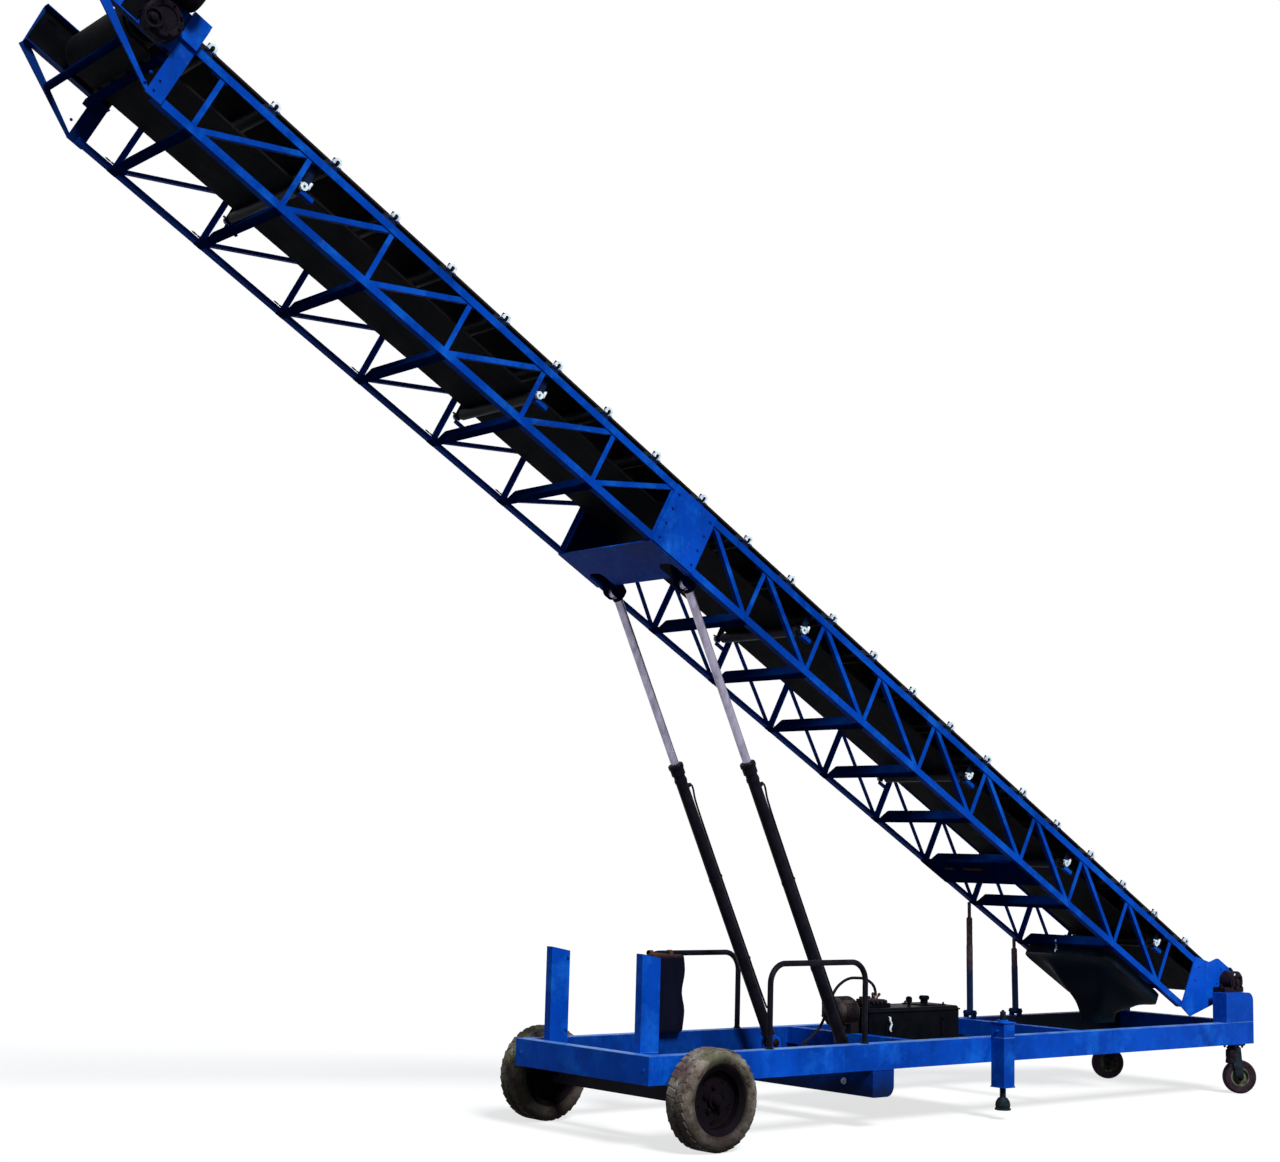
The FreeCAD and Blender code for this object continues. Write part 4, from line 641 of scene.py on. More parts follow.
print("idler clips")
clip = {
    "count": 23, "from": 0.524, "to": 9.412, "inner": 0.0115, "outer": 0.0240, "half": 0.0085,
    "axis": 0.034, "leg": 0.016, "foot": 0.012, "thick": 0.004, "inset": 0.008, "pin": 0.0085,
    "pinLevel": 0.037, "pinEnds": (-0.030, 0.004),
}
returnRun = {
    "stations": (0.794, 1.915, 3.036, 4.717, 6.995, 8.676), "level": -0.1183, "slope": -0.07 / 9.71,
    "clampAside": 0.376, "barAside": 0.3735, "barShift": -0.040, "barSize": (0.080, 0.008, 0.026),
}
pins = bmesh.new()
bars = bmesh.new()
for name, side in bothSides:
    shape = bmesh.new()
    aside = side * (boom["outer"] - clip["inset"])
    inner, outer, half = clip["inner"], clip["outer"], clip["half"]
    legWide = outer - inner
    for step in range(clip["count"]):
        station = clip["from"] + (clip["to"] - clip["from"]) / (clip["count"] - 1) * step
        outline = [(inner, -half, 0), (outer, -half, 0), (outer, half, 0), (inner, half, 0)]
        addArch(shape, onBoom(station, aside, clip["axis"]), outline, (0, -1, 0), math.pi, 9)
        for way in (-1, 1):
            leg = onBoom(station + way * (inner + legWide / 2), aside, clip["axis"] - clip["leg"] / 2)
            addBlock(shape, leg, (legWide, half * 2, clip["leg"]))
            foot = onBoom(station + way * (outer + clip["foot"] / 2 - 0.003), aside,
                          clip["axis"] - clip["leg"] + clip["thick"] / 2)
            addBlock(shape, foot, (clip["foot"], half * 2, clip["thick"]), 0.001, 1)
        ends = [boomPoint(station, aside + side * reach, clip["pinLevel"]) for reach in clip["pinEnds"]]
        addRod(pins, *ends, clip["pin"], 10)
    for station in returnRun["stations"]:
        level = returnRun["level"] + returnRun["slope"] * station
        arch = onBoom(station, side * returnRun["clampAside"], level)
        addRing(shape, arch @ spun(quarter, "X"), 0.008, 0.022, -0.007, 0.007, 18)
        for way in (-1, 1):
            addBlock(shape, arch @ at(way * 0.024, 0, 0.006), (0.018, 0.014, 0.010), 0.003, 1)
        addBlock(shape, arch @ at(0.026, 0, 0.026), (0.014, 0.014, 0.036), 0.003, 1)
        bar = onBoom(station + returnRun["barShift"], side * returnRun["barAside"], level - 0.030)
        addBlock(bars, bar, returnRun["barSize"], 0.002, 1)
        addBlock(bars, bar @ at(0, -side * 0.013, -0.012), (0.080, 0.026, 0.006), 0.002, 1)
    finishPiece(f"idlerClips_{name}", shape, whiteZinc, "boom", sharp=40)
finishPiece("idlerPins", pins, casting, "boom")
finishPiece("returnIdlerBars", bars, blue, "boom")

print("boom steelwork")
seam = {
    "aside": 0.3955, "off": 0.003,
    "beads": ((-0.022, 0.017, 0.0055), (0.0, 0.017, 0.0055), (0.020, 0.017, 0.0055), (0.050, 0.022, 0.005)),
}
shape = bmesh.new()
for side in (-1, 1):
    for station in stations:
        for level in (boom["low"] + boom["leg"] + seam["off"], boom["high"] - boom["leg"] - seam["off"]):
            for shift, length, radius in seam["beads"]:
                spot = boomPoint(station + shift, side * seam["aside"], level)
                addBead(shape, spot, boomBack, length, radius)
finishPiece("trussWelds", shape, blue, "boom", sharp=60)

plates = {
    "splice": (5.680, 5.950), "spliceAside": 0.4178, "rows": 4, "rowEdge": 0.045, "aside": 0.4196,
    "head": [(station, level) for station in (9.535, 9.588) for level in (-0.360, -0.300, -0.050)],
    "tail": ((0.085, -0.060), (0.085, 0.050), (-0.045, 0.060), (0.33, -0.06), (0.33, -0.16)),
}
shape = bmesh.new()
for side in (-1, 1):
    first, last = boom["low"] + plates["rowEdge"], boom["high"] - plates["rowEdge"]
    for station in plates["splice"]:
        for row in range(plates["rows"]):
            level = first + row * (last - first) / (plates["rows"] - 1)
            spot = boomPoint(station, side * plates["spliceAside"], level)
            addBolt(shape, spot, (0, side, 0), 0.013, 0.005, row * 0.7)
    for bolts, across, height in (("head", 0.012, 0.005), ("tail", 0.013, 0.004)):
        for station, level in plates[bolts]:
            spot = boomPoint(station, side * plates["aside"], level)
            addBolt(shape, spot, (0, side, 0), across, height, level * 9)
finishPiece("plateBolts", shape, plateBlue, "boom")

guard = {
    "aside": 0.400, "sweep": 62, "steps": 14,
    "outline": [(0, -0.036, 0.101), (0, -0.036, 0.106), (0, 0.030, 0.106), (0, 0.030, 0.101)],
}
shape = bmesh.new()
for side in (-1, 1):
    addArch(shape, onBoom(0, side * guard["aside"], 0), guard["outline"], (0, 1, 0),
            math.radians(guard["sweep"]), guard["steps"])
finishPiece("tailGuards", shape, plateBlue, "boom")

scraper = {
    "blade": (9.60, 0, -0.158), "bladeSize": (0.012, 0.60, 0.060), "lean": -0.5, "bar": (9.575, 0, -0.187),
    "barSize": (0.040, 0.80, 0.040), "bolts": (-0.22, -0.08, 0.08, 0.22),
    "boltStation": 9.600, "boltLevel": -0.180,
}
shape = bmesh.new()
addBlock(shape, onBoom(*scraper["blade"]) @ spun(scraper["lean"], "Y"), scraper["bladeSize"], 0.003, 1)
finishPiece("scraperBlade", shape, belt, "boom")
shape = bmesh.new()
addBlock(shape, onBoom(*scraper["bar"]), scraper["barSize"], 0.005)
for aside in scraper["bolts"]:
    spot = boomPoint(scraper["boltStation"], aside, scraper["boltLevel"])
    addBolt(shape, spot, -boomBack, 0.016, 0.008)
finishPiece("scraperBar", shape, shadedBlue, "boom")

liner = {
    "station": 9.7275, "aside": 0.4065, "level": -0.033, "size": (0.505, 0.006, 0.214),
    "lugs": (9.52, 9.72, 9.93), "lugAside": 0.4020, "lugLevel": 0.044, "lugSize": (0.050, 0.004, 0.030),
}
shape = bmesh.new()
for side in (-1, 1):
    place = onBoom(liner["station"], side * liner["aside"], liner["level"])
    addBlock(shape, place, liner["size"], 0.002, 1)
    for station in liner["lugs"]:
        place = onBoom(station, side * liner["lugAside"], liner["lugLevel"])
        addBlock(shape, place, liner["lugSize"], 0.0015, 1)
finishPiece("headLiners", shape, linerSheet, "boom")

print("head drive")
gear = {
    "place": (9.685, -0.484, -0.070), "bolts": 8, "boltRing": 0.078, "ribs": 6, "ribRing": 0.100,
    "rim": mm((62, -4), (62, 6), (68, 8), (86, 8), (90, 5), (90, -4)), "bossAt": (9.733, -0.502, -0.115),
    "boss": mm((0, -6), (20, -6), (20, 6), (12, 10), (0, 10)), "filler": (9.62, -0.480, -0.020),
    "vent": (9.70, -0.452, 0.028), "ventTop": 0.055,
}
shape = bmesh.new()
face = onBoom(*gear["place"]) @ spun(quarter, "X")
addTurned(shape, face, gear["rim"], 40, closed=True)
addBoltRing(shape, face, (0, -1, 0), evenly(gear["bolts"]), gear["boltRing"], 0.008, 0.012, 0.006, twist=1)
for angle in evenly(gear["ribs"], 0.3):
    addBlock(shape, face @ spun(angle) @ at(gear["ribRing"], 0, -0.032), (0.012, 0.014, 0.052), 0.003, 1)
addTurned(shape, onBoom(*gear["bossAt"]) @ spun(quarter, "X"), gear["boss"], 24)
addBolt(shape, boomPoint(*gear["filler"]), (0, -1, 0), 0.018, 0.010)
addRod(shape, boomPoint(*gear["vent"]), boomPoint(*gear["vent"][:2], gear["ventTop"]), 0.010, 12, 0.002)
finishPiece("gearboxFittings", shape, drive, "boom")

shell = {
    "from": 9.840, "to": 9.605, "aside": -0.488, "level": 0.115, "fins": 13, "firstFin": 0.025,
    "lastFin": 0.050, "fin": mm((61, -2.2), (74, -1.6), (74, 1.6), (61, 2.2)),
    "cowl": mm((0, 6), (50, 6), (62, 1), (70, -10), (70, -50), (63, -50), (0, -50)),
    "boxAt": (9.715, -0.482, 0.197), "box": (0.088, 0.072, 0.036), "boxLid": (0.094, 0.078, 0.006),
    "gland": ((-0.03, 0.034, -0.004), (-0.03, 0.060, -0.004)),
}
shape = bmesh.new()
finPitch = (shell["from"] - shell["to"] - shell["firstFin"] - shell["lastFin"]) / (shell["fins"] - 1)
for step in range(shell["fins"]):
    station = shell["to"] + shell["firstFin"] + finPitch * step
    addTurned(shape, onBoom(station, shell["aside"], shell["level"]) @ spun(quarter, "Y"), shell["fin"], 28,
              closed=True)
cowl = onBoom(shell["to"] - 0.004, shell["aside"], shell["level"]) @ spun(quarter, "Y")
addTurned(shape, cowl, shell["cowl"])
for step in range(5):
    addRing(shape, cowl, 0.012 + step * 0.009, 0.015 + step * 0.009, 0.006, 0.0085, 24)
box = onBoom(*shell["boxAt"])
addBlock(shape, box, shell["box"], 0.006)
addBlock(shape, box @ at(0, 0, 0.019), shell["boxLid"], 0.002)
addRod(shape, *(box @ Vector(spot) for spot in shell["gland"]), 0.011, 14, 0.002)
finishPiece("driveMotorFins", shape, drive, "boom")

bearing = {
    "place": (9.71, 0.420, -0.035), "bolts": (0.8, 2.37, 3.94, 5.51), "boltRing": 0.052,
    "housing": mm((28, 0), (62, 0), (64, 10), (50, 20), (40, 34), (28, 36)),
}
shape = bmesh.new()
hub = onBoom(*bearing["place"]) @ spun(-quarter, "X")
addTurned(shape, hub, bearing["housing"], closed=True)
addBoltRing(shape, hub, (0, 1, 0), bearing["bolts"], bearing["boltRing"], 0.014, 0.015, 0.009)
finishPiece("headBearing", shape, casting, "boom")

print("cylinders")
ram = {
    "eye": (5.58, 0.310, -0.40), "top": 1.85, "lugs": (0.3, 1.87, 3.44, 5.01), "ports": (0.125, 1.700),
    "clamps": (0.55, 1.10), "pipeOff": 0.052, "pins": (("chassis", 0.039), ("boom", 0.043)),
    "collar": mm((26.2, -20), (44.5, -20), (46.5, -16), (46.5, 2), (43, 7), (34, 10), (26.2, 10)),
    "bands": ((1.752, mm((34, -12), (38.5, -10), (38.5, 10), (34, 12))),
              (0.075, mm((34, -16), (41, -14), (41, 14), (34, 16)))),
    "pipe": ((1.700, -0.004), (1.700, 0.018), (1.660, 0.018), (1.600, 0.002), (1.300, 0), (0.600, 0),
             (0.250, 0), (0.205, 0.004)),
    "eyeCollar": mm((24.5, -10), (28.5, -8), (31.5, 4), (31.5, 12), (24.5, 12)),
    "washer": mm((0, 0), (26, 0), (26, 4), (19, 4), (18, 12), (0, 12)),
}
station, eyeAside, level = ram["eye"]
for name, side in bothSides:
    foot = Vector(joints[f"barrel_tilt_{name}"]["pos_m"])
    eye = boomPoint(station, side * eyeAside, level)
    along = (eye - foot).normalized()
    behind = along.cross(Vector((0, side, 0))).normalized()
    if behind.x < 0:
        behind.negate()
    shape = bmesh.new()
    collar = facing(foot + along * ram["top"], along)
    addTurned(shape, collar, ram["collar"], 40, closed=True)
    for angle in ram["lugs"]:
        addBlock(shape, collar @ spun(angle) @ at(0.045, 0, -0.007), (0.008, 0.012, 0.012), 0.002, 1)
    for reach, profile in ram["bands"]:
        addTurned(shape, facing(foot + along * reach, along), profile, 36, closed=True)
    for reach in ram["ports"]:
        base = foot + along * reach
        addRod(shape, base + behind * 0.030, base + behind * 0.052, 0.014, 16, 0.002)
        addRod(shape, base + behind * 0.052, base + behind * 0.062, 0.011, 6)
    for reach in ram["clamps"]:
        addRing(shape, facing(foot + along * reach, along), 0.0345, 0.037, -0.009, 0.009)
        addBlock(shape, facing(foot + along * reach + behind * 0.048, along), (0.020, 0.020, 0.016), 0.002, 1)
    finishPiece(f"barrelFittings_{name}", shape, black, f"barrel_{name}")
    shape = bmesh.new()
    route = [foot + along * reach + behind * (ram["pipeOff"] + lift) for reach, lift in ram["pipe"]]
    addPipe(shape, route, 0.006)
    finishPiece(f"barrelPipe_{name}", shape, black, f"barrel_{name}")
    shape = bmesh.new()
    addTurned(shape, facing(eye - along * 0.045, along), ram["eyeCollar"], closed=True)
    finishPiece(f"rodEyeCollar_{name}", shape, casting, f"rod_{name}")
for body, reach in ram["pins"]:
    shape = bmesh.new()
    for name, side in bothSides:
        foot = Vector(joints[f"barrel_tilt_{name}"]["pos_m"])
        spot = boomPoint(station, side * eyeAside, level) if body == "boom" else foot
        for way in (-1, 1):
            face = spot + Vector((0, way * reach, 0))
            addTurned(shape, facing(face, (0, way, 0)), ram["washer"], 28)
            addBolt(shape, face + Vector((0, way * 0.012, 0)), (0, way, 0), 0.012, 0.005)
    finishPiece(f"pinWashers_{body}", shape, casting, body)

print("tail bearings")
bearing = {
    "cap": mm((0, 12), (16, 12), (19, 9), (22, 0), (34, 1), (36, 7), (52, 8), (58, 4), (60, -4), (0, -4)),
    "bolts": (0.78, 2.36, 3.93, 5.50), "boltRing": 0.046, "inside": 0.045, "footBolt": 0.022,
    "footThick": 0.034, "nipple": mm((0, 20), (3, 20), (4.5, 16), (3.5, 11), (7.5, 10), (7.5, 0), (0, 0)),
    "greaseCap": mm((0, 2.2), (8, 1.8), (12, 0), (0, 0)), "greaseCapAside": 0.5195,
}
greaseCaps = bmesh.new()
for name, side in bothSides:
    low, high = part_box(f"tail_bearing_{name}")
    outer = side * max(abs(low[1]), abs(high[1]))
    middle = outer - side * bearing["inside"]
    shape = bmesh.new()
    face = facing((hinge[0], outer, hinge[2]), (0, side, 0))
    addTurned(shape, face, bearing["cap"], 40)
    addBoltRing(shape, face, (0, side, 0), bearing["bolts"], bearing["boltRing"], 0.008, 0.013, 0.008)
    addTurned(shape, facing((hinge[0], middle, high[2] - 0.002), (0, 0, 1)), bearing["nipple"], 12)
    for reach in (low[0] + bearing["footBolt"], high[0] - bearing["footBolt"]):
        addBolt(shape, (reach, middle, low[2] + bearing["footThick"]), (0, 0, 1), 0.024, 0.014)
    finishPiece(f"bearingFittings_{name}", shape, casting, "chassis")
    spot = (hinge[0] - 0.030, side * bearing["greaseCapAside"], hinge[2] + 0.046)
    addTurned(greaseCaps, facing(spot, (0, side, 0)), bearing["greaseCap"], 18)
finishPiece("greaseCaps", greaseCaps, whiteZinc, "chassis")

print("power pack")
tank = {
    "lip": 0.016, "filterX": 1.70, "plate": 0.20, "plateBolt": 0.085, "teeth": 16, "toothRing": 0.031,
    "filter": mm((0, 50), (26, 50), (31, 45), (31, 26), (24, 22), (24, 0), (0, 0)), "breatherX": 1.50,
    "breather": mm((0, 60), (12, 58), (20, 50), (20, 24), (10, 20), (10, 0), (0, 0)), "strapInset": 0.16,
    "strap": (0.028, 0.006, 0.23), "strapLevel": 0.47, "strapBolts": (0.565, 0.395),
    "hook": [(0.175, -0.004, 0.585), (0.172, -0.018, 0.583), (0.158, -0.024, 0.570), (0.178, -0.024, 0.545),
             (0.158, -0.024, 0.515), (0.176, -0.020, 0.498), (0.184, -0.004, 0.500)],
}
low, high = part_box("oil_tank")
front, near = low[:2]
back, far, top = high
mid = (near + far) / 2
shape = bmesh.new()
lid = (back - front + tank["lip"], far - near + tank["lip"], 0.010)
addBlock(shape, at((front + back) / 2, mid, top - 0.020), lid, 0.003)
addBlock(shape, at(tank["filterX"], mid, top + 0.003), (tank["plate"], tank["plate"], 0.008), 0.003)
for along, across in corners:
    spot = (tank["filterX"] + along * tank["plateBolt"], mid + across * tank["plateBolt"], top + 0.007)
    addBolt(shape, spot, (0, 0, 1), 0.012, 0.007)
filterSeat = at(tank["filterX"], mid, top + 0.006)
addTurned(shape, filterSeat, tank["filter"])
for angle in evenly(tank["teeth"]):
    addBlock(shape, filterSeat @ spun(angle) @ at(tank["toothRing"], 0, 0.036), (0.003, 0.005, 0.018))
addTurned(shape, at(tank["breatherX"], mid - 0.05, top), tank["breather"], 24)
addBlock(shape, at(1.20, mid, top + 0.012), (0.20, 0.16, 0.026), 0.005)
for way in (-1, 1):
    start = Vector((front + 0.04, mid + way * 0.10, top - 0.002))
    addRod(shape, start, start + Vector((0, 0, 0.022)), 0.011, 14, 0.002)
for x in (front + tank["strapInset"], back - tank["strapInset"]):
    addBlock(shape, at(x, near - 0.005, tank["strapLevel"]), tank["strap"], 0.002)
    for level in tank["strapBolts"]:
        addBolt(shape, (x, near - 0.008, level), (0, -1, 0), 0.014, 0.008)
finishPiece("tankLid", shape, tankPaint, "chassis", sharp=40)

shape = bmesh.new()
addPipe(shape, [(front + x, near + y, z) for x, y, z in tank["hook"]], 0.0065)
finishPiece("tankHook", shape, whiteZinc, "chassis", sharp=60)

valve = {
    "place": (1.19, -0.01, 0.030), "size": (0.15, 0.11, 0.036), "ports": 4, "portX": 1.135,
    "portPitch": 0.037, "cap": mm((0, 16), (8, 16), (11, 10), (11, 0), (0, 0)), "levers": 3,
    "leverX": 1.150, "leverPitch": 0.042,
    "knob": mm((0, 12), (6, 11), (9.5, 5), (9.5, -4), (6, -10), (0, -11)),
}
shape = bmesh.new()
addBlock(shape, at(valve["place"][0], mid + valve["place"][1], top + valve["place"][2]), valve["size"], 0.005)
for step in range(valve["ports"]):
    x = valve["portX"] + step * valve["portPitch"]
    start = Vector((x, mid - 0.068, top + 0.034))
    addRod(shape, start, start + Vector((0, -0.022, 0)), 0.013, 14, 0.002)
    addTurned(shape, at(x, mid + 0.022, top + 0.046), valve["cap"], 14)
finishPiece("valveBlock", shape, casting, "chassis")
shape = bmesh.new()
for step in range(valve["levers"]):
    root = Vector((valve["leverX"] + step * valve["leverPitch"], mid - 0.020, top + 0.046))
    tip = root + Vector((-0.020 + 0.014 * step, -0.012, 0.036 - 0.004 * step))
    addRod(shape, root, tip, 0.0045, 10)
    addTurned(shape, facing(tip, tip - root), valve["knob"], 18)
finishPiece("valveLevers", shape, rusty, "chassis", sharp=50)

pump = {
    "radius": 0.090, "fins": 9, "firstFin": 0.040, "finPitch": 0.0115, "feet": 4,
    "footSize": (0.012, 0.026, 0.09), "fin": mm((86, -2.2), (98.5, -1.6), (98.5, 1.6), (86, 2.2)),
    "cowl": mm((0, 10), (30, 10), (64, 7), (84, -4), (93, -22), (93, -34), (88, -34), (0, -20)),
    "box": (0.085, 0.050, 0.090), "boxLid": (0.091, 0.007, 0.096), "boxBolt": (0.036, 0.038),
    "flangeBolts": 6, "flangeRing": 0.053,
}
low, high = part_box("pump_motor")
start, stop = low[0], high[0]
axis = Vector((0, (low[1] + high[1]) / 2, high[2] - pump["radius"]))
shape = bmesh.new()
for step in range(pump["fins"]):
    ring = facing((start + pump["firstFin"] + step * pump["finPitch"], axis.y, axis.z), (1, 0, 0))
    addTurned(shape, ring, pump["fin"], 36, closed=True)
cowl = facing((start, axis.y, axis.z), (-1, 0, 0))
addTurned(shape, cowl, pump["cowl"], 40)
for step in range(5):
    addRing(shape, cowl, 0.016 + step * 0.012, 0.020 + step * 0.012, 0.0085, 0.0125, 28)
for angle in evenly(pump["feet"], math.pi / 4):
    addBlock(shape, cowl @ spun(angle) @ at(0.094, 0, -0.075), pump["footSize"], 0.003)
box = at(start + 0.085, axis.y + 0.100, axis.z + 0.010)
addBlock(shape, box, pump["box"], 0.007)
addBlock(shape, box @ at(0, 0.026, 0), pump["boxLid"], 0.003)
for along, across in corners:
    spot = box @ Vector((along * pump["boxBolt"][0], 0.0295, across * pump["boxBolt"][1]))
    addBolt(shape, spot, (0, 1, 0), 0.008, 0.004)
addRod(shape, box @ Vector((0, 0, -0.044)), box @ Vector((0, 0, -0.068)), 0.012, 14, 0.002)
finishPiece("pumpMotorFins", shape, motor, "chassis")
shape = bmesh.new()
addRing(shape, facing((stop - 0.018, axis.y, axis.z), (1, 0, 0)), 0.040, 0.062, -0.012, 0.006)
for angle in evenly(pump["flangeBolts"]):
    spoke = Vector((0, math.cos(angle), math.sin(angle))) * pump["flangeRing"]
    addBolt(shape, Vector((stop - 0.030, axis.y, axis.z)) + spoke, (-1, 0, 0), 0.012, 0.006)
finishPiece("pumpFlange", shape, casting, "chassis")

fitting = {
    "places": ((0.700, 0.140, 0.340), (1.365, 0.140, 0.640)), "nut": 0.0165, "nutLevel": 0.016,
    "body": mm((0, 0), (17, 0), (17, 8), (13.5, 10), (13.5, 30), (11.5, 34), (11.5, 52), (9.8, 55), (0, 55)),
}
shape = bmesh.new()
for place in fitting["places"]:
    seat = facing(place, (0, 0, 1))
    addTurned(shape, seat, fitting["body"], 18)
    bmesh.ops.create_cone(shape, cap_ends=True, segments=6, radius1=fitting["nut"], radius2=fitting["nut"],
                          depth=0.012, matrix=seat @ at(0, 0, fitting["nutLevel"]))
finishPiece("hoseFittings", shape, steel, "chassis")

print("starter cover")
sheet = {"corner": 0.018, "cuts": 11, "sag": 0.016, "sagLevel": 0.30, "fold": 0.006, "strapInset": 0.05}
low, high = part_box("starter_box")
size = [high[axis] - low[axis] for axis in range(3)]
centre = [(high[axis] + low[axis]) / 2 for axis in range(3)]
shape = bmesh.new()
addBlock(shape, at(*centre), (size[0] - 0.004, size[1], size[2] - 0.004), sheet["corner"], 3)
bmesh.ops.subdivide_edges(shape, edges=[line for line in shape.edges if line.calc_length() > 0.05],
                          cuts=sheet["cuts"], use_grid_fill=True)
for spot in shape.verts:
    level = (spot.co.z - low[2]) / size[2]
    reach = (spot.co.x - low[0]) / size[0]
    sag = 0.010 * math.sin(level * 9.5) + sheet["sag"] * math.exp(-((level - sheet["sagLevel"]) / 0.16) ** 2)
    spot.co.x += sag * reach * min(1.0, 6 * (1 - level)) - 0.006 * reach
    if level > 0.02:
        fold = sheet["fold"] * (math.sin(reach * 7 + level * 5) + noise.noise(spot.co * 9))
        spot.co.y += fold * (1 - level * 0.4)
    spot.co.z += 0.006 * math.sin(reach * 6.0) * level
finishPiece("starterCover", shape, cover, "chassis", ("starter_box",), 60)
shape = bmesh.new()
for x in (low[0] + sheet["strapInset"], high[0] - sheet["strapInset"]):
    addRing(shape, facing((x, high[1] + 0.0165, 0.9535), (1, 0, 0)), 0.0165, 0.0195, -0.014, 0.014, 24)
    addBlock(shape, at(x, high[1] - 0.004, 0.930), (0.028, 0.006, 0.05), 0.002)
finishPiece("starterStraps", shape, rusty, "chassis")

print("hoops, posts and frame")
hoopWeld = mm((16.6, 12), (21, 8), (24, 1.5), (30, 0), (16.6, 0))
shape = bmesh.new()
for name, side in bothSides:
    low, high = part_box(f"handle_hoop_{name}")
    for x in (low[0] + 0.0165, high[0] - 0.0165):
        addTurned(shape, at(x, (low[1] + high[1]) / 2, low[2]), hoopWeld, 28, closed=True)
finishPiece("hoopWelds", shape, black, "chassis", sharp=60)

# rows of beads on the near and far side alike: first bead, step between beads, and how many
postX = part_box("rest_post_near")[0][0] + 0.012
weldRows = [
    ((postX, 0.4155, 0.491), (0.0212, 0, 0), 6), ((-1.0645, 0.4990, 0.350), (0, 0, 0.019), 8),
    ((4.166, 0.5725, 0.4905), (0.0206, 0, 0), 16), ((1.637, 0.5745, 0.4905), (0.0148, 0, 0), 7),
    ((0.585, 0.5742, 0.3395), (0.020, 0, 0), 9),
]
weldRows += [((x, 0.4985, 0.400), (0, 0, 0.020), 5) for x in (0.94, 1.015, 2.55, 2.625)]
shape = bmesh.new()
for side in (-1, 1):
    for (x, y, z), pitch, count in weldRows:
        for step in range(count):
            addBead(shape, Vector((x, side * y, z)) + Vector(pitch) * step, pitch, 0.0125, 0.0045)
finishPiece("frameWelds", shape, frameBlue, "chassis", sharp=60)

frameBolt = {
    "plug": mm((0, 3), (10, 3), (12, 0), (0, 0)), "plugAt": (-1.140, 0.530, 0.415),
    "post": (-0.952, 0.3645), "postLevels": (0.55, 0.95), "axle": (0.5455, 0.3095),
    "axleX": (-0.855, -0.785),
}
shape = bmesh.new()
for side in (-1, 1):
    x, aside, level = frameBolt["plugAt"]
    addTurned(shape, facing((x, side * aside, level), (-1, 0, 0)), frameBolt["plug"], 20)
    x, aside = frameBolt["post"]
    for level in frameBolt["postLevels"]:
        addBolt(shape, (x, side * aside, level), (0, -side, 0), 0.014, 0.008)
    aside, level = frameBolt["axle"]
    for x in frameBolt["axleX"]:
        addBolt(shape, (x, side * aside, level), (0, 0, -1), 0.016, 0.010)
finishPiece("frameBolts", shape, frameBlue, "chassis")

beamPlug = {
    "place": (0.5750, -0.345, 0.258), "boltPlace": (0.5745, -0.345, 0.258),
    "disc": mm((0, 3), (19, 3), (20, 0), (0, 0)),
}
shape = bmesh.new()
addBolt(shape, beamPlug["boltPlace"], (-1, 0, 0), 0.022, 0.012)
addTurned(shape, facing(beamPlug["place"], (-1, 0, 0)), beamPlug["disc"], 28)
finishPiece("liftBeamPlug", shape, whiteZinc, "chassis")

print("parking jack")
jack = {
    "turns": 22, "threadFrom": 0.140, "pitch": 0.0048, "thread": mm((17, -1.8), (20.5, 0), (17, 1.8)),
    "foot": mm((0, -0.5), (47, -0.5), (50, 4), (48, 10), (44, 12), (0, 12)),
    "socket": mm((20, 20), (30, 18), (35, 8), (35, 0), (30, -6), (18, -8)),
    "head": mm((0, 9), (10, 9), (18, 6.5), (18.8, 4), (18.2, 2), (0, 2)),
    "collar": mm((24, 0), (34, 0), (32, 12), (24, 12)), "collarTop": 0.112, "collarLow": 0.108,
    "nipple": mm((0, 20), (4, 20), (5, 12), (9, 10), (9, 0), (0, 0)),
}
low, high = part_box("jack_screw")
sleeveLow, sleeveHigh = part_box("jack_sleeve")
jackAt = at((low[0] + high[0]) / 2, (low[1] + high[1]) / 2, 0)
shape = bmesh.new()
for step in range(jack["turns"]):
    level = jack["threadFrom"] + step * jack["pitch"]
    if level < high[2]:
        addTurned(shape, jackAt @ at(0, 0, level), jack["thread"], 22, closed=True)
addTurned(shape, jackAt @ at(0, 0, low[2]), jack["foot"], 36)
addTurned(shape, jackAt @ at(0, 0, low[2] + 0.052), jack["socket"], closed=True)
finishPiece("jackThread", shape, castorSteel, "jack")
shape = bmesh.new()
head = jackAt @ at(0, 0, high[2] - 0.006)
addTurned(shape, head, jack["head"], 28)
bmesh.ops.create_cone(shape, cap_ends=True, segments=6, radius1=0.010, radius2=0.009, depth=0.009,
                      matrix=head @ at(0, 0, 0.0125))
finishPiece("jackHead", shape, castorSteel, "jack", sharp=40)
shape = bmesh.new()
for level, across in ((sleeveHigh[2] + 0.004, jack["collarTop"]), (sleeveLow[2] - 0.004, jack["collarLow"])):
    addBlock(shape, jackAt @ at(0, 0, level), (across, across, 0.008), 0.002)
addTurned(shape, jackAt @ at(0, 0, sleeveHigh[2] + 0.008), jack["collar"], 28, closed=True)
addTurned(shape, facing(jackAt @ Vector((-0.050, 0, 0.53)), (-1, 0, 0)), jack["nipple"], 12)
finishPiece("jackCollars", shape, frameBlue, "chassis")

print("props")
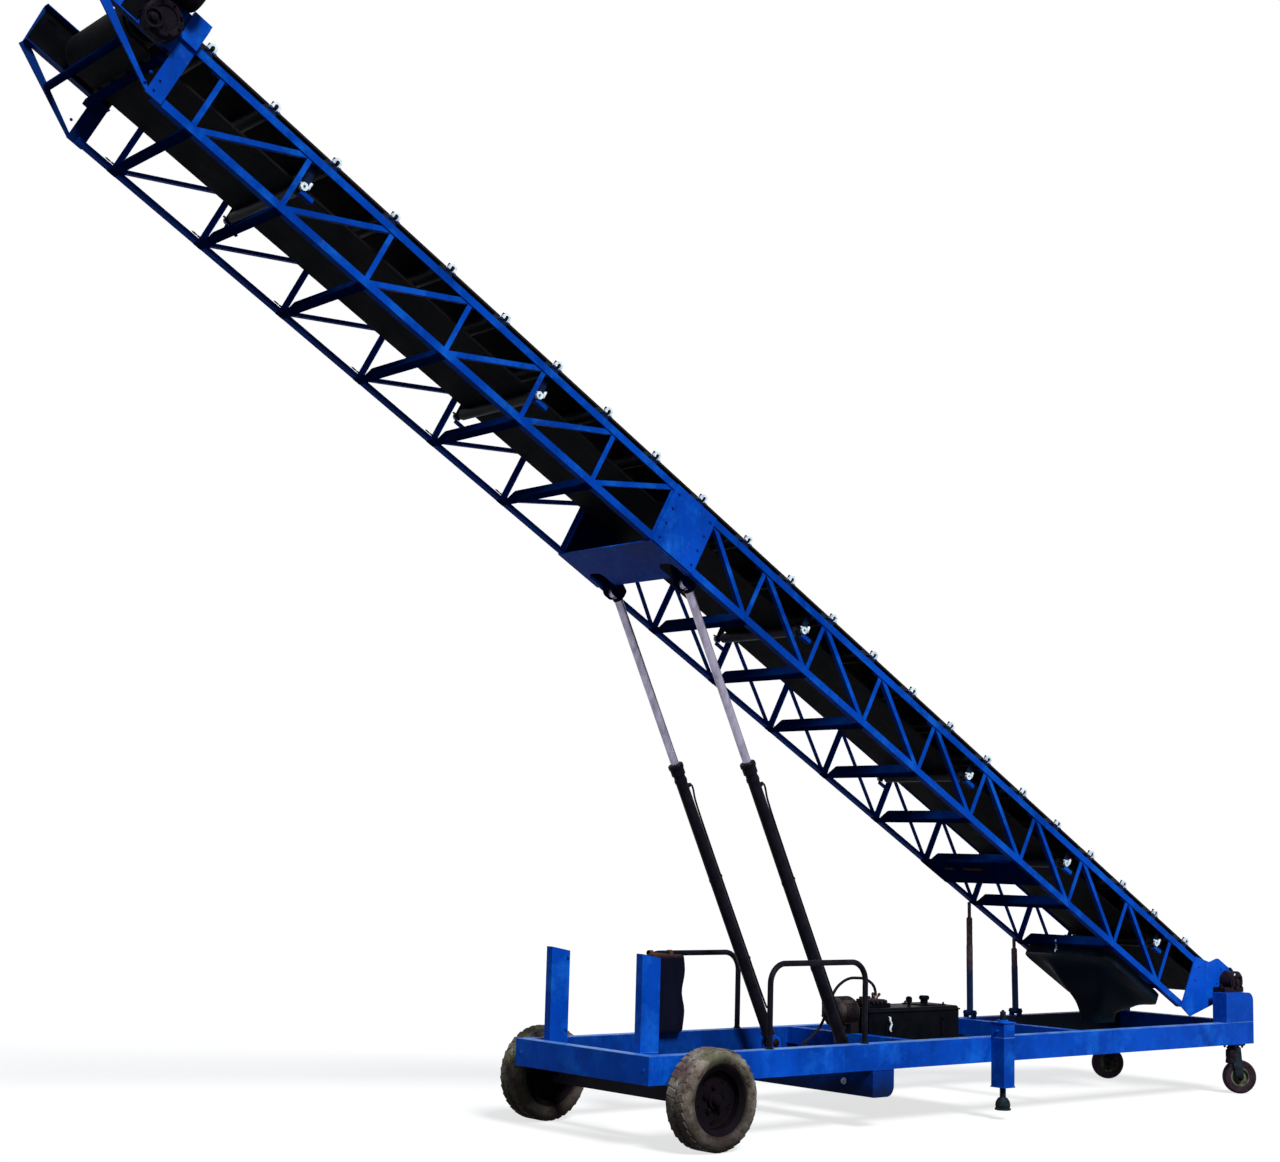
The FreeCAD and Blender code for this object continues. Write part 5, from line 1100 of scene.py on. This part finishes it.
# how far each prop leans forward and rises, and where along it its two collars sit, with their radius
props = {"front": (-0.124, 0.770), "rear": (-0.135, 0.530)}
propCollar = {"tipAside": 0.428, "collars": ((0.34, 0.0215), (0.355, 0.020)), "sleeve": (0.585, 0.86)}
bolts = bmesh.new()
for name, (lean, lift) in props.items():
    foot = Vector(joints[f"prop_fold_{name}"]["pos_m"])
    along = Vector((lean, propCollar["tipAside"] - foot.y, lift)).normalized()
    shape = bmesh.new()
    for share, radius in propCollar["collars"]:
        collar = [(0.012, -0.010), (radius, -0.008), (radius, 0.008), (0.012, 0.010)]
        addTurned(shape, facing(foot + along * lift * share, along), collar, 26, closed=True)
    lower, upper = (lift * share for share in propCollar["sleeve"])
    sleeve = [(0.0125, lower), (0.0205, lower), (0.0205, upper - 0.006), (0.0185, upper), (0.0125, upper)]
    addTurned(shape, facing(foot, along), sleeve, 26, closed=True)
    finishPiece(f"propCollars_{name}", shape, prop, f"prop_{name}")
    for way in (-1, 1):
        addBolt(bolts, foot + Vector((0, way * 0.042, 0)), (0, way, 0), 0.020, 0.010)
finishPiece("propBolts", bolts, casting, "chassis")

print("under the boom")
belly = {
    "station": 2.255, "plateLevel": -0.4027, "plate": (0.290, 0.800, 0.005), "lipShift": 0.1425,
    "lipLevel": -0.3930, "lip": (0.005, 0.730, 0.016), "strips": ((0.015, 0.150), (0.215, 0.070)),
    "stripStation": 2.310, "stripLevel": -0.4077,
}
shape = bmesh.new()
addBlock(shape, onBoom(belly["station"], 0, belly["plateLevel"]), belly["plate"], 0.001, 1)
for way in (-1, 1):
    place = onBoom(belly["station"] + way * belly["lipShift"], 0, belly["lipLevel"])
    addBlock(shape, place, belly["lip"], 0.001, 1)
finishPiece("bellyPlate", shape, shadedBlue, "boom")
shape = bmesh.new()
for aside, span in belly["strips"]:
    place = onBoom(belly["stripStation"], aside, belly["stripLevel"])
    addBlock(shape, place, (0.028, span, 0.005), 0.0015, 1)
finishPiece("bellyStrips", shape, rusty, "boom")

funnel = {
    "from": 0.520, "to": 1.235, "half": 0.358, "top": -0.400, "skirt": -0.462, "spoutAt": 0.690,
    "drop": 0.640, "spoutLong": 0.105, "spoutWide": 0.090, "spoutDown": 0.050, "rings": 16, "around": 96,
    "wall": 0.004,
}


def funnelPoint(share, turn):
    # share: below 0 up the skirt, 0 to 1 down the slope, above 1 down the spout
    sharp = 0.22 + 0.16 * max(share, 0)
    across, length = (math.copysign(abs(value) ** sharp, value) for value in (math.sin(turn), math.cos(turn)))
    middleAt, halfLong = (funnel["from"] + funnel["to"]) / 2, (funnel["to"] - funnel["from"]) / 2
    level = funnel["skirt"] - min(share, 0) * (funnel["top"] - funnel["skirt"])
    upper = boomPoint(middleAt - length * halfLong, across * funnel["half"], level)
    centre = boomPoint(funnel["spoutAt"], 0, -funnel["drop"])
    lower = centre + Vector((length * funnel["spoutLong"], across * funnel["spoutWide"], 0))
    if share <= 0:
        return upper
    if share > 1:
        return lower - Vector((0, 0, (share - 1) * funnel["spoutDown"]))
    spot = upper.lerp(lower, share ** 0.62 + 0.035 * math.sin(share * 9.5))
    spot.z = upper.z + (lower.z - upper.z) * share ** 1.25
    sag = noise.noise(spot * 6.0) * 0.022 * math.sin(share * math.pi)
    return spot + (spot - centre).normalized() * sag


shape = bmesh.new()
shares = [-1.0, -0.5, 0.0] + [(step + 1) / funnel["rings"] for step in range(funnel["rings"])] + [1.5, 2.0]
rows = [[shape.verts.new(funnelPoint(share, turn)) for turn in evenly(funnel["around"])] for share in shares]
for upper, lower in zip(rows, rows[1:]):
    for step in range(funnel["around"]):
        after = (step + 1) % funnel["around"]
        shape.faces.new((upper[step], upper[after], lower[after], lower[step]))
bmesh.ops.recalc_face_normals(shape, faces=shape.faces)
bmesh.ops.solidify(shape, geom=list(shape.faces), thickness=funnel["wall"])
finishPiece("funnelSkirt", shape, panSheet, "boom", replaced=("spill_pan",), sharp=60)

chain = {
    "place": (1.245, 0.060, -0.415), "links": 5, "pitch": 0.016, "sway": 0.012, "inner": 0.0065,
    "outer": 0.011,
}
shape = bmesh.new()
for step in range(chain["links"]):
    sway = -0.006 * step + chain["sway"] * math.sin(step * 0.9)
    link = onBoom(*chain["place"]) @ at(sway, -0.004, chain["pitch"] * (step - 2))
    link = link @ spun(quarter * (step % 2) + 0.3) @ spun(quarter, "X") @ Matrix.Diagonal((0.75, 1.35, 1, 1))
    addRing(shape, link, chain["inner"], chain["outer"], -0.0024, 0.0024, 14)
finishPiece("funnelChain", shape, whiteZinc, "boom", sharp=60)
